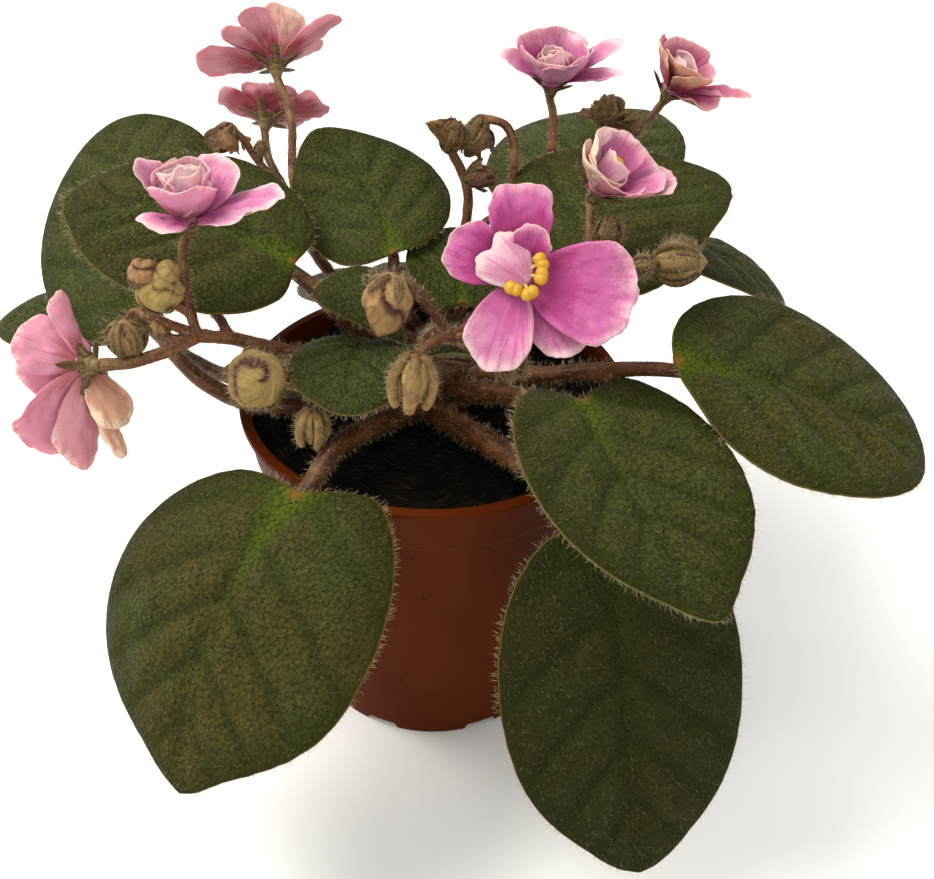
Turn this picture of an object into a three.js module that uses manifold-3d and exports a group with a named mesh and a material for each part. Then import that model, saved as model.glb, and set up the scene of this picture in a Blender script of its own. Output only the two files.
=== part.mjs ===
// A potted African violet with double pink flowers. Sizes are in millimetres and angles in degrees.
// +Z is up, the origin is the middle of the pot's base, and the front of the plant is its -Y side.
import * as THREE from "three";
import { mergeVertices } from "three/addons/utils/BufferGeometryUtils.js";
import Module from "manifold-3d";

const wasm = await Module();
wasm.setup();

// Pot and soil
const POT_HEIGHT = 85;
const RIM_RADIUS = 45;
const BASE_RADIUS = 33;
const WALL = 1.5;
const BAND_HEIGHT = 13;
const BAND_STEP = 1.1;
const LIP_HEIGHT = 1.8;
const LIP_STEP = 0.9;
const FOOT_HEIGHT = 2.2;
const FOOT_WIDTH = 2.4;
const HUB_RADIUS = 12;
const NOTCHES = 8;
const NOTCH_WIDTH = 8;
const POT_SIDES = 36;
const SOIL_TOP = 80;
const SOIL_ROUGHNESS = 1.1;
const SOIL_SIDES = 18;
const GAP = 0.3;
const FINEST = 0.18;

// Crown, as pairs of radius and height, and the plain hole in the soil that it stands in
const CROWN = [
  [0, 60],
  [5, 61],
  [7.2, 70],
  [7.6, 82],
  [7.2, 94],
  [4.8, 98.5],
  [0, 100],
];
const CROWN_SIDES = 10;
const HOLE_RADIUS = 7.6 + GAP;

// Leaf blades
const BLADE_THICKNESS = 1;
const BLADE_MIDDLE = 0.43;
const NOTCH_SHARE = 0.14;
const NOTCH_POWER = 1.4;
const BACK_FULLNESS = 0.12;
const SMALL_LEAF = 30;
const PETIOLE_SIDES = 5;
const PETIOLE_STEPS = 6;
const PETIOLE_UNDER = 0.22;
const PETIOLE_GAP = 0.6;

// Flowers
const PETAL_THICKNESS = 0.8;
const PETAL_MIDDLE = 0.58;
const PETAL_SECTORS = 8;
const PETAL_START = 1.5;
const TUBE_LENGTH = 3.6;
const TUBE_RADIUS = 2.7;
const THROAT_RADIUS = 1.9;
const ANTHER_RADIUS = 1.1;
const STEM_SIDES = 5;
const STEM_STEPS_A_POINT = 1.6;
const CALYX_LOBES = 5;
const CALYX_RIB = 0.16;

const GREEN = new THREE.MeshStandardMaterial({ color: 0x3a4a26, roughness: 0.75, metalness: 0 });
const STEM = new THREE.MeshStandardMaterial({ color: 0x7a4a30, roughness: 0.7, metalness: 0 });
const PINK = new THREE.MeshStandardMaterial({ color: 0xd070b8, roughness: 0.6, metalness: 0 });
const YELLOW = new THREE.MeshStandardMaterial({ color: 0xe8b020, roughness: 0.6, metalness: 0 });
const TERRACOTTA = new THREE.MeshStandardMaterial({ color: 0x8a4426, roughness: 0.5, metalness: 0 });
const PEAT = new THREE.MeshStandardMaterial({ color: 0x1a1511, roughness: 0.95, metalness: 0 });

// Each leaf: the petiole leaves the crown at an angle and a height, passes through its points,
// and meets the blade at its base. Roll turns the blade about its midrib, arch lifts the midrib's
// middle, sweep bends it sideways, cup lifts the edges, wave ripples them, point sharpens the tip and
// lobes are the shares of the length by which the left and the right lobe grow back past the joint.
const LEAVES = [
  {
    name: "leaf_front_left", from: [-114, 86], via: [[-19.5, -31, 91]], base: [-26.5, -42.9, 89.5],
    tip: [-48.7, -83.4, 43.8], width: 62.5, roll: -1.3, arch: 4.8, sweep: -4.3, cup: -8, wave: 0.8,
    point: 1.31, lobes: [0.1, 0.02], petiole: 3.1,
  },
  {
    name: "leaf_front_low", from: [-83, 85.2], via: [[14, -28, 90], [27, -41, 90]],
    base: [38, -47.7, 83.5], tip: [47, -83.1, 17.6], width: 53.1, roll: 1.6, arch: 2.6, sweep: -0.3,
    cup: -2.7, wave: 0.8, point: 0.74, lobes: [0.03, 0.05], petiole: 3.1,
  },
  {
    name: "leaf_front_right", from: [-48, 89.2], via: [[17, -19, 97]], base: [31.1, -32.5, 106.6],
    tip: [54.4, -78.1, 90.9], width: 47.2, roll: -12.8, arch: 4.2, sweep: -5.3, cup: 4, wave: 0.6,
    point: 0.94, lobes: [0.11, 0.1], petiole: 2.8,
  },
  {
    name: "leaf_right", from: [-16, 91.5], via: [[24, -12, 97.5], [38, -19, 104]],
    base: [50, -25.9, 111.8], tip: [106.5, -24.3, 89.6], width: 51.7, roll: 11.6, arch: 1.6, sweep: 2,
    cup: -0.3, wave: 0.6, point: 0.02, lobes: [0.01, -0.06], petiole: 2.5,
  },
  {
    name: "leaf_right_rear", from: [38, 86], via: [[30, 20, 96]], base: [53.5, 37, 105],
    tip: [85, 23, 95], width: 40, roll: -19, arch: 4, sweep: 0, cup: -1.3, wave: 0.5, point: 0.45,
    lobes: [0.1, 0.1], petiole: 2.4,
  },
  {
    name: "leaf_rear_right", from: [14, 92], via: [[20, 2, 106]], base: [33.5, 0, 118],
    tip: [60.3, 36.5, 125.5], width: 50, roll: 1, arch: 0.8, sweep: 7, cup: 1.4, wave: 0.5,
    point: 0.0, lobes: [0.1, 0.1], petiole: 2.6,
  },
  {
    name: "leaf_rear", from: [62, 90], via: [[15, 28, 102]], base: [29, 46, 109.5],
    tip: [56.7, 98.5, 112.7], width: 51.6, roll: -4, arch: 2.5, sweep: 4, cup: -2.9, wave: 0.5,
    point: 0.6, lobes: [0.1, 0.1], petiole: 2.6,
  },
  {
    name: "leaf_top", from: [112, 93], via: [[-9, 11, 105]], base: [-9.5, 13.9, 112.8],
    tip: [-30, 50.8, 126.3], width: 36.9, roll: -8, arch: -2.5, sweep: -4.2, cup: -3.1, wave: 0.5,
    point: 0.56, lobes: [0.02, 0.02], petiole: 2.2,
  },
  {
    name: "leaf_small_rear", from: [72, 97], via: [], base: [6.4, 6.5, 104.3],
    tip: [4.6, 29, 111.5], width: 25, roll: 0, arch: 1.5, sweep: 0, cup: 1.5, wave: 0.3, point: 0.4,
    lobes: [0.14, 0.14], petiole: 1.5,
  },
  {
    name: "leaf_small_left", from: [166, 97.5], via: [], base: [-7, -3.5, 106],
    tip: [-26, -2, 112], width: 25, roll: 4, arch: 3, sweep: -1, cup: -0.4, wave: 0.3, point: 0.42,
    lobes: [0.14, 0.14], petiole: 1.4,
  },
  {
    name: "leaf_small_front", from: [222, 95.5], via: [[-11, -10, 99]], base: [-13.8, -7.7, 103.4],
    tip: [-16.1, -36.7, 104.5], width: 27, roll: 0, arch: 2.4, sweep: -1.3, cup: -0.6, wave: 0.3,
    point: 0.3, lobes: [0.08, 0.18], petiole: 1.4,
  },
  {
    name: "leaf_smallest", from: [-70, 97], via: [], base: [8.5, -19.5, 107.5],
    tip: [-3.5, -23.5, 109], width: 8.5, roll: 20, arch: 1, sweep: 0, cup: 1, wave: 0, point: 0.4,
    lobes: [0.1, 0.1], petiole: 1.1,
  },
  {
    name: "leaf_left", from: [168, 90.5], via: [[-20, 2, 102.5]], base: [-30.5, 5.3, 115.1],
    tip: [-81.1, 12.2, 126.6], width: 52.3, roll: -8.4, arch: 2.3, sweep: -1.7, cup: -1.1, wave: 0.8,
    point: 0.72, lobes: [0.04, 0.06], petiole: 2.8,
  },
  {
    name: "leaf_left_rear", from: [213, 87.5], via: [[-31, -18, 92.5], [-46, -15, 93.5], [-60, -2, 97]],
    base: [-66.4, 8.8, 102.3], tip: [-86, 70, 119], width: 54, roll: -24, arch: 0, sweep: 1.2,
    cup: -5, wave: 0.8, point: 0.25, lobes: [0.12, 0.1], petiole: 2.5,
  },
  {
    name: "leaf_left_far", from: [186, 84.8], via: [[-28, -6, 89.5], [-46, -3, 89], [-63, 13, 85.6]],
    base: [-75, 27, 87], tip: [-109.5, 24, 85.2], width: 41, roll: 9, arch: 3, sweep: 0, cup: -1.6,
    wave: 0.5, point: 0.43, lobes: [0.1, 0.1], petiole: 2.2,
  },
  {
    name: "leaf_back_left", from: [107, 85.2], via: [[-12, 32, 91.5]], base: [-17, 46, 90],
    tip: [-26, 82, 56], width: 38, roll: 0, arch: 4, sweep: 0, cup: -2, wave: 0.5, point: 0.5,
    lobes: [0.13, 0.13], petiole: 2.3,
  },
  {
    name: "leaf_back_right", from: [78, 84.8], via: [[12, 32, 91]], base: [18, 46, 89],
    tip: [27, 80, 52], width: 38, roll: 0, arch: 4, sweep: 0, cup: -2, wave: 0.5, point: 0.5,
    lobes: [0.13, 0.13], petiole: 2.3,
  },
];

// Each flower: its middle, the way it faces and what is up in it. A petal's turn is measured
// anticlockwise from the flower's right, seen from its front. Its lean lifts it out of the
// flower's plane, its curl bends its end forward and its hollow lifts its edges.
const FLOWERS = [
  {
    name: "flower_front", centre: [18, -20, 127], facing: [-0.05, -0.75, 0.66], up: [0, 0.6, 0.8],
    petals: [
      { turn: 90, lean: 12, length: 17, width: 12.8, curl: -1, hollow: 1 },
      { turn: 157, lean: 14, length: 14.5, width: 12, curl: -1, hollow: 1 },
      { turn: 252, lean: 8, length: 18.3, width: 13.3, curl: -2, hollow: 1 },
      { turn: -14, lean: 10, length: 22, width: 20, curl: -2, hollow: 2 },
      { turn: -51, lean: -6, length: 17.5, width: 11.5, curl: 1, hollow: 0 },
      { turn: 143, lean: 50, length: 8, width: 9.5, curl: 1, hollow: -2 },
      { turn: 68, lean: 38, length: 9.5, width: 7.5, curl: -1, hollow: 1 },
    ],
    anthers: [[4.2, 3.6], [4.8, 0.5], [-3, -2.6], [1.6, -4]],
  },
  {
    name: "flower_left_upper", centre: [-48.6, -11.5, 135], facing: [0.05, -0.1, 0.99], up: [0, 1, 0],
    petals: [
      { turn: 172, lean: 50, length: 13.5, width: 8.5, curl: 1, hollow: 1 },
      { turn: 277, lean: 58, length: 13, width: 12.5, curl: 0, hollow: 2 },
      { turn: 240, lean: 24, length: 10, width: 10, curl: -1, hollow: 0 },
      { turn: -9, lean: 29, length: 20, width: 10.5, curl: -2, hollow: 0 },
      { turn: -27, lean: 25, length: 16, width: 10, curl: 0, hollow: 0 },
      { turn: 39, lean: 44, length: 13, width: 13, curl: 0, hollow: 1 },
      { turn: 118, lean: 70, length: 10.5, width: 11.5, curl: 2, hollow: 2 },
      { turn: 30, lean: 68, length: 11, width: 9, curl: 1, hollow: 2 },
    ],
    anthers: [[0.5, 0]],
  },
  {
    name: "flower_far_left", centre: [-71.6, -23.3, 105.8], facing: [-0.85, 0.4, -0.33], up: [0, 0, 1],
    petals: [
      { turn: 95, lean: -5, length: 15, width: 5.5, curl: 1, hollow: 1 },
      { turn: 64, lean: 34, length: 13.5, width: 13, curl: 0, hollow: 2 },
      { turn: 26, lean: 50, length: 12, width: 11, curl: 0, hollow: 1 },
      { turn: -35, lean: 28, length: 19, width: 16, curl: 0, hollow: -2 },
      { turn: -60, lean: 6, length: 20, width: 12, curl: 0, hollow: 2 },
      { turn: -90, lean: -15, length: 13.5, width: 10.5, curl: -1, hollow: 1 },
      { turn: 125, lean: 46, length: 13, width: 11, curl: 0, hollow: 1 },
      { turn: -80, lean: -7, length: 19.5, width: 5.5, curl: 0, hollow: 1 },
      { turn: 20, lean: 66, length: 9.5, width: 9, curl: 1, hollow: 1 },
    ],
    anthers: [[0.5, 0]],
  },
  {
    name: "flower_top_left", centre: [-41.5, 66, 137], facing: [-0.15, 0.8, 0.58], up: [0, 0, 1],
    petals: [
      { turn: -11, lean: 8, length: 18.5, width: 13, curl: 0, hollow: 1 },
      { turn: 35, lean: 16, length: 14, width: 7.5, curl: 0, hollow: 1 },
      { turn: 69, lean: 22, length: 15, width: 8.5, curl: 0, hollow: 1 },
      { turn: 117, lean: 50, length: 12.5, width: 14, curl: 1, hollow: 3 },
      { turn: 151, lean: 17, length: 18.5, width: 6.5, curl: 0, hollow: 1 },
      { turn: 211, lean: 34, length: 15, width: 9.5, curl: 0, hollow: 1 },
      { turn: 300, lean: 36, length: 14, width: 13, curl: 0, hollow: 1 },
    ],
    anthers: [[0.5, 0]],
  },
  {
    name: "flower_top_left_low", centre: [-44.3, 64, 123.6], facing: [0.1, 0.84, 0.52], up: [0, 0, 1],
    petals: [
      { turn: 9, lean: 12, length: 12, width: 12, curl: 0, hollow: 1 },
      { turn: 76, lean: 20, length: 8.6, width: 9, curl: 0, hollow: 1 },
      { turn: 133, lean: 22, length: 9.3, width: 9.5, curl: 0, hollow: 1 },
      { turn: 171, lean: 10, length: 14.5, width: 10, curl: 0, hollow: 1 },
      { turn: 225, lean: 24, length: 10.5, width: 12, curl: 0, hollow: 1 },
      { turn: 310, lean: 24, length: 10.5, width: 12, curl: 0, hollow: 1 },
    ],
    anthers: [[0.5, 0]],
  },
  {
    name: "flower_top", centre: [27, 53, 138.5], facing: [0.06, -0.14, 0.99], up: [0, 1, 0],
    petals: [
      { turn: 176, lean: 24, length: 12.5, width: 8, curl: 0, hollow: 1 },
      { turn: 246, lean: 42, length: 11, width: 15, curl: 2, hollow: 3 },
      { turn: 304, lean: 40, length: 11, width: 14, curl: 2, hollow: 3 },
      { turn: 100, lean: 58, length: 11, width: 17, curl: 1, hollow: 2 },
      { turn: 40, lean: 60, length: 11, width: 15, curl: 1, hollow: 2 },
      { turn: 12, lean: 30, length: 17.5, width: 6.5, curl: 1, hollow: 1 },
      { turn: -18, lean: 23, length: 15.5, width: 6.5, curl: -1, hollow: 1 },
    ],
    anthers: [[0.5, 0]],
  },
  {
    name: "flower_top_right", centre: [57.2, 59.2, 134.6], facing: [0.36, -0.2, 0.88], up: [0, 1, 0],
    petals: [
      { turn: 178, lean: 49, length: 12.5, width: 12, curl: 1, hollow: 2 },
      { turn: 105, lean: 60, length: 11, width: 13, curl: 1, hollow: 2 },
      { turn: 42, lean: 50, length: 10, width: 10, curl: 0, hollow: 1 },
      { turn: -3, lean: 22, length: 17.5, width: 4.5, curl: 0, hollow: 1 },
      { turn: -42, lean: 14, length: 11, width: 12, curl: 1, hollow: 2 },
      { turn: 240, lean: 58, length: 11, width: 11, curl: 1, hollow: 2 },
      { turn: 292, lean: 52, length: 10, width: 10, curl: 1, hollow: 1 },
    ],
    anthers: [[0.5, 0]],
  },
  {
    name: "flower_right", centre: [35.2, 4.6, 134.6], facing: [0.4, -0.2, 0.9], up: [0, 1, 0],
    petals: [
      { turn: 78, lean: 58, length: 11.5, width: 10, curl: 1, hollow: 2 },
      { turn: 160, lean: 54, length: 11.5, width: 12, curl: 2, hollow: 3 },
      { turn: 192, lean: 42, length: 9.5, width: 10, curl: 1, hollow: 2 },
      { turn: 236, lean: 45, length: 8.5, width: 9, curl: 1, hollow: 2 },
      { turn: 290, lean: 38, length: 10, width: 10, curl: 1, hollow: 2 },
      { turn: -30, lean: 37, length: 13, width: 13, curl: 1, hollow: 2 },
      { turn: 0, lean: 36, length: 14.5, width: 11, curl: 0, hollow: 1 },
      { turn: 32, lean: 37, length: 12, width: 12, curl: 0, hollow: 1 },
    ],
    anthers: [[0.5, 0]],
  },
];

// Each spray: its stems run through their points, which end at a flower where one is named, and a
// stem that branches starts on its parent's line. A bud hangs at its point and grows along its axis.
const SPRAYS = [
  {
    name: "spray_left", from: [195, 93],
    stems: [
      {
        through: [[-20, -7, 96.5], [-35, -14, 105], [-42, -17, 109], [-48, -20, 111.5]],
        radius: [1.7, 1.4],
      },
      {
        through: [[-48, -20, 111.5], [-49.5, -19, 121], [-50, -13, 129]],
        flower: "flower_left_upper", radius: [1.1, 1],
      },
      {
        through: [[-48, -20, 111.5], [-54, -22, 109], [-62, -24.5, 107.5]],
        flower: "flower_far_left", radius: [1.3, 1.4],
      },
      {
        through: [[-48, -20, 111.5], [-57, -19, 115], [-61, -18.5, 116], [-62.5, -21, 113]],
        radius: [1.1, 0.9],
      },
      { through: [[-49.2, -19.7, 117], [-53, -20.8, 121]], radius: [1, 1] },
      { through: [[-42, -17, 109], [-45, -12, 110.5], [-46.5, -10.5, 111]], radius: [1.2, 1] },
      { through: [[-48, -20, 111.5], [-53, -20.5, 111], [-56, -18.5, 111]], radius: [1, 0.9] },
    ],
    buds: [
      { at: [-62.5, -21, 115], axis: [0, -0.1, -1], length: 8.5, radius: 4 },
      { at: [-54, -21, 119.5], axis: [0, -0.05, 1], length: 8, radius: 4.8 },
      { at: [-52.2, -20.6, 125], axis: [0.2, -0.1, 1], length: 5, radius: 2.4 },
      { at: [-56.3, -20.6, 124.5], axis: [-0.3, -0.1, 1], length: 5.6, radius: 3.1 },
      { at: [-55.5, -18.6, 111], axis: [-0.3, -0.1, 1], length: 5, radius: 2.2 },
    ],
  },
  {
    name: "spray_top_left", from: [142, 91],
    stems: [
      { through: [[-16, 12, 98], [-25, 20, 103], [-33, 33, 107]], radius: [1.6, 1.4] },
      {
        through: [[-33, 33, 107], [-35.6, 41.6, 117], [-36.5, 52, 128]],
        flower: "flower_top_left", radius: [1.1, 1],
      },
      {
        through: [[-33, 33, 107], [-38, 46, 110.5], [-43.5, 55, 116]],
        flower: "flower_top_left_low", radius: [1.1, 1],
      },
      {
        through: [[-38, 46, 110.5], [-45, 50, 117], [-49, 50.5, 123.5], [-51.5, 51, 125.5]],
        radius: [1, 0.9],
      },
      { through: [[-45, 50, 117], [-44.5, 50, 120]], radius: [0.9, 0.8] },
    ],
    buds: [
      { at: [-51, 50.8, 126], axis: [-0.6, -0.1, -0.75], length: 7.5, radius: 4 },
      { at: [-44.5, 50, 119.5], axis: [0.2, 0, 1], length: 3.5, radius: 1.6 },
    ],
  },
  {
    name: "spray_centre", from: [-94, 97],
    stems: [
      { through: [[-0.8, -9.6, 104], [2, -14.5, 110], [4.6, -21, 113]], radius: [1.4, 1.3] },
      {
        through: [[4.6, -21, 113], [1, -19, 117], [-3.5, -18.5, 123.5], [-7, -20, 125.5]],
        radius: [1, 0.9],
      },
      { through: [[4.6, -21, 113], [0.8, -26, 115], [-2.5, -31, 114.5]], radius: [1, 0.9] },
      {
        through: [[4.6, -21, 113], [12, -17, 117], [17.5, -16, 121]],
        flower: "flower_front", radius: [1.1, 1],
      },
      { through: [[4.6, -21, 113], [12, -23, 114.4], [16.7, -26.2, 114]], radius: [0.9, 0.9] },
    ],
    buds: [
      { at: [-7, -20.5, 126.5], axis: [-0.25, -0.25, -1], length: 13, radius: 4.8 },
      { at: [-2.5, -31.5, 115], axis: [-0.1, -0.25, -1], length: 11, radius: 4.8 },
      { at: [16.8, -27, 113.8], axis: [0, -0.35, -1], length: 7, radius: 3 },
    ],
  },
  {
    name: "spray_right", from: [-10, 96.5],
    stems: [
      { through: [[17, -6, 105], [27, -8, 112], [32, -7, 118]], radius: [1.5, 1.3] },
      {
        through: [[32, -7, 118], [33.2, -1, 124.5], [33.4, 4, 129.6]],
        flower: "flower_right", radius: [1.1, 1],
      },
      { through: [[32, -7, 118], [36, -4, 121], [37.4, -0.5, 124]], radius: [0.9, 0.8] },
      { through: [[32, -7, 118], [39, -10, 122.5], [47, -9.5, 124.5]], radius: [1.1, 1] },
      { through: [[38, -9.8, 121.8], [41.8, -12, 124.5]], radius: [0.9, 0.9] },
    ],
    buds: [
      { at: [37.4, 0, 122.8], axis: [0, 0.3, 1], length: 7, radius: 3 },
      { at: [46.5, -9.6, 124.6], axis: [1, -0.2, 0.15], length: 10.5, radius: 4.6 },
      { at: [41.4, -11.8, 124.4], axis: [0.8, -0.3, 0.5], length: 6, radius: 2.1 },
    ],
  },
  {
    name: "spray_rear", from: [40, 97],
    stems: [
      { through: [[15, 15, 103], [25, 32, 108], [27.5, 40, 117], [27.5, 44, 124]], radius: [1.4, 1.1] },
      { through: [[27.5, 44, 124], [27.5, 50, 131]], flower: "flower_top", radius: [1, 1] },
      {
        through: [[27.5, 40, 117], [40, 50, 121], [51, 57, 126]],
        flower: "flower_top_right", radius: [1, 1],
      },
      { through: [[40, 50, 121], [42, 56, 125]], radius: [0.9, 0.9] },
      { through: [[42, 56, 125], [47, 56, 125]], radius: [0.8, 0.8] },
    ],
    buds: [
      { at: [42, 57, 125], axis: [0, 0.2, 1], length: 8, radius: 4.8 },
      { at: [47, 56, 124], axis: [0.5, 0, 0.8], length: 5, radius: 2.4 },
    ],
  },
  {
    name: "spray_top_centre", from: [92, 96],
    stems: [
      { through: [[3.5, 18, 98], [6.5, 31, 108], [7, 34, 119], [3, 36, 128]], radius: [1.4, 1.1] },
      {
        through: [[6.5, 31, 108], [14, 31, 114], [18, 33.4, 124], [16, 38, 133], [10, 39, 134.5]],
        radius: [1, 1],
      },
    ],
    buds: [
      { at: [2.5, 36, 127.5], axis: [0.2, 0, 0.9], length: 8, radius: 3.6 },
      { at: [10.5, 39, 134.5], axis: [-0.4, -0.2, -0.9], length: 10, radius: 3.6 },
      { at: [6.5, 34, 121], axis: [0.8, 0, 0.3], length: 7, radius: 3 },
    ],
  },
  {
    name: "spray_low_left", from: [234, 92.6],
    stems: [
      { through: [[-14, -15.5, 96.5], [-20, -18.5, 98], [-29, -21, 101]], radius: [1.3, 1.1] },
      { through: [[-29, -21, 101], [-34.5, -21.5, 103], [-36.1, -24.4, 103.7]], radius: [1.1, 1.1] },
      { through: [[-20, -18.5, 98], [-23.3, -24, 99.5], [-23.9, -28, 98]], radius: [1, 0.9] },
    ],
    buds: [
      { at: [-36, -23.5, 103], axis: [0.1, -0.8, 0.6], length: 8.5, radius: 6 },
      { at: [-29, -19, 102.7], axis: [-0.3, 0.3, -0.4], length: 7, radius: 3.6 },
      { at: [-24, -28.3, 99], axis: [-0.1, -0.25, -1], length: 8, radius: 3.6 },
    ],
  },
];

const root = new THREE.Group();
root.name = "potted_african_violet";

function radians(degrees) {
  return (degrees * Math.PI) / 180;
}

function vector([x, y, z]) {
  return new THREE.Vector3(x, y, z);
}

// A closed geometry as a solid that can be joined and cut, without its collapsed triangles.
function solid(geometry) {
  const bare = new THREE.BufferGeometry();
  bare.setAttribute("position", geometry.getAttribute("position"));
  bare.setIndex(geometry.index);
  const merged = mergeVertices(bare, 1e-3);
  const index = merged.index.array;
  const kept = [];
  for (let i = 0; i < index.length; i += 3) {
    const [a, b, c] = index.slice(i, i + 3);
    if (a !== b && b !== c && c !== a) kept.push(a, b, c);
  }
  return new wasm.Manifold(
    new wasm.Mesh({
      numProp: 3,
      vertProperties: Float32Array.from(merged.getAttribute("position").array),
      triVerts: Uint32Array.from(kept),
    }),
  );
}

function geometryOf(made) {
  const mesh = made.getMesh();
  const geometry = new THREE.BufferGeometry();
  geometry.setAttribute("position", new THREE.BufferAttribute(mesh.vertProperties, 3));
  geometry.setIndex(new THREE.BufferAttribute(mesh.triVerts, 1));
  geometry.computeVertexNormals();
  return geometry;
}

function addPiece(name, made, material) {
  const mesh = new THREE.Mesh(geometryOf(made), material);
  mesh.name = name;
  root.add(mesh);
}

function joined(solids) {
  return solids.reduce((sum, next) => sum.add(next));
}

// A solid turned about the Z axis, from pairs of radius and height that start and end on the axis.
function turned(profile, sides) {
  const points = profile.map(([radius, height]) => new THREE.Vector2(radius, height));
  return new THREE.LatheGeometry(points, sides).rotateX(Math.PI / 2);
}

// A frame whose x runs along an axis and whose z is as near to up as that allows.
function frameAlong(axis, up, roll = 0) {
  const x = axis.clone().normalize();
  const z = up.clone().addScaledVector(x, -up.dot(x)).normalize();
  z.applyAxisAngle(x, radians(roll));
  const y = new THREE.Vector3().crossVectors(z, x);
  return new THREE.Matrix4().makeBasis(x, y, z);
}

// A thin closed plate: rings of points shrink its outline towards its middle, on two faces alike.
function plate({ outline, middle, bend, rings, sectors, thickness }) {
  const rim = Array.from({ length: sectors }, (_, i) => outline((2 * Math.PI * i) / sectors));
  const flat = [[middle, 0]];
  for (let ring = 1; ring <= rings; ring++) {
    const share = ring / rings;
    for (const [x, y] of rim) flat.push([middle + share * (x - middle), share * y]);
  }
  const top = flat.map(([x, y]) => bend(x, y));
  const bottom = top.map(([x, y, z]) => [x, y, z - thickness]);
  const under = flat.length;
  const at = (ring, i) => 1 + (ring - 1) * sectors + (i % sectors);
  const index = [];
  const face = (a, b, c) => index.push(a, b, c, under + a, under + c, under + b);
  for (let i = 0; i < sectors; i++) {
    face(0, at(1, i), at(1, i + 1));
    for (let ring = 1; ring < rings; ring++) {
      face(at(ring, i), at(ring + 1, i), at(ring + 1, i + 1));
      face(at(ring, i), at(ring + 1, i + 1), at(ring, i + 1));
    }
    const [a, b] = [at(rings, i), at(rings, i + 1)];
    index.push(a, under + a, under + b, a, under + b, b);
  }
  const geometry = new THREE.BufferGeometry();
  const positions = new Float32Array([...top, ...bottom].flat());
  geometry.setAttribute("position", new THREE.BufferAttribute(positions, 3));
  geometry.setIndex(index);
  return geometry;
}

// A tube along a smooth curve, whose radius runs evenly from its start to its end.
function tube(points, [startRadius, endRadius], sides, steps) {
  const curve = new THREE.CatmullRomCurve3(points, false, "centripetal");
  const frames = curve.computeFrenetFrames(steps, false);
  const positions = [];
  const index = [];
  for (let step = 0; step <= steps; step++) {
    const centre = curve.getPointAt(step / steps);
    const radius = startRadius + ((endRadius - startRadius) * step) / steps;
    for (let side = 0; side < sides; side++) {
      const angle = (2 * Math.PI * side) / sides;
      const point = centre
        .clone()
        .addScaledVector(frames.normals[step], radius * Math.cos(angle))
        .addScaledVector(frames.binormals[step], radius * Math.sin(angle));
      positions.push(...point.toArray());
    }
  }
  const at = (step, side) => step * sides + (side % sides);
  for (let side = 0; side < sides; side++) {
    for (let step = 0; step < steps; step++) {
      index.push(at(step, side), at(step, side + 1), at(step + 1, side + 1));
      index.push(at(step, side), at(step + 1, side + 1), at(step + 1, side));
    }
    if (side > 0 && side < sides - 1) {
      index.push(at(0, 0), at(0, side + 1), at(0, side));
      index.push(at(steps, 0), at(steps, side), at(steps, side + 1));
    }
  }
  const geometry = new THREE.BufferGeometry();
  geometry.setAttribute("position", new THREE.BufferAttribute(new Float32Array(positions), 3));
  geometry.setIndex(index);
  return geometry;
}

// The pot stands on its foot ring and on the flat hub in the middle of its floor.
function makePot() {
  const bandBottom = POT_HEIGHT - BAND_HEIGHT;
  const lipBottom = POT_HEIGHT - LIP_HEIGHT;
  const slope = (RIM_RADIUS - LIP_STEP - BAND_STEP - BASE_RADIUS) / POT_HEIGHT;
  const wallAt = (height) => BASE_RADIUS + slope * height;
  const floorTop = FOOT_HEIGHT + WALL;
  const body = solid(
    turned(
      [
        [0, 0],
        [HUB_RADIUS, 0],
        [HUB_RADIUS + 1, FOOT_HEIGHT],
        [BASE_RADIUS - FOOT_WIDTH, FOOT_HEIGHT],
        [BASE_RADIUS - FOOT_WIDTH, 0],
        [BASE_RADIUS, 0],
        [wallAt(bandBottom), bandBottom],
        [wallAt(bandBottom) + BAND_STEP, bandBottom + BAND_STEP],
        [wallAt(lipBottom) + BAND_STEP, lipBottom],
        [RIM_RADIUS, lipBottom],
        [RIM_RADIUS, POT_HEIGHT],
        [wallAt(POT_HEIGHT) - WALL + BAND_STEP, POT_HEIGHT],
        [wallAt(bandBottom) - WALL + BAND_STEP, bandBottom + BAND_STEP],
        [wallAt(bandBottom) - WALL, bandBottom],
        [wallAt(floorTop) - WALL, floorTop],
        [0, floorTop],
      ],
      POT_SIDES,
    ),
  );
  const notch = new THREE.BoxGeometry(2 * FOOT_WIDTH + 2, NOTCH_WIDTH, 2 * FOOT_HEIGHT - 0.4);
  notch.translate(BASE_RADIUS - 1, 0, 0);
  const cuts = Array.from({ length: NOTCHES }, (_, i) =>
    solid(notch.clone().rotateZ((2 * Math.PI * (i + 0.5)) / NOTCHES)),
  );
  return body.subtract(joined(cuts));
}

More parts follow.
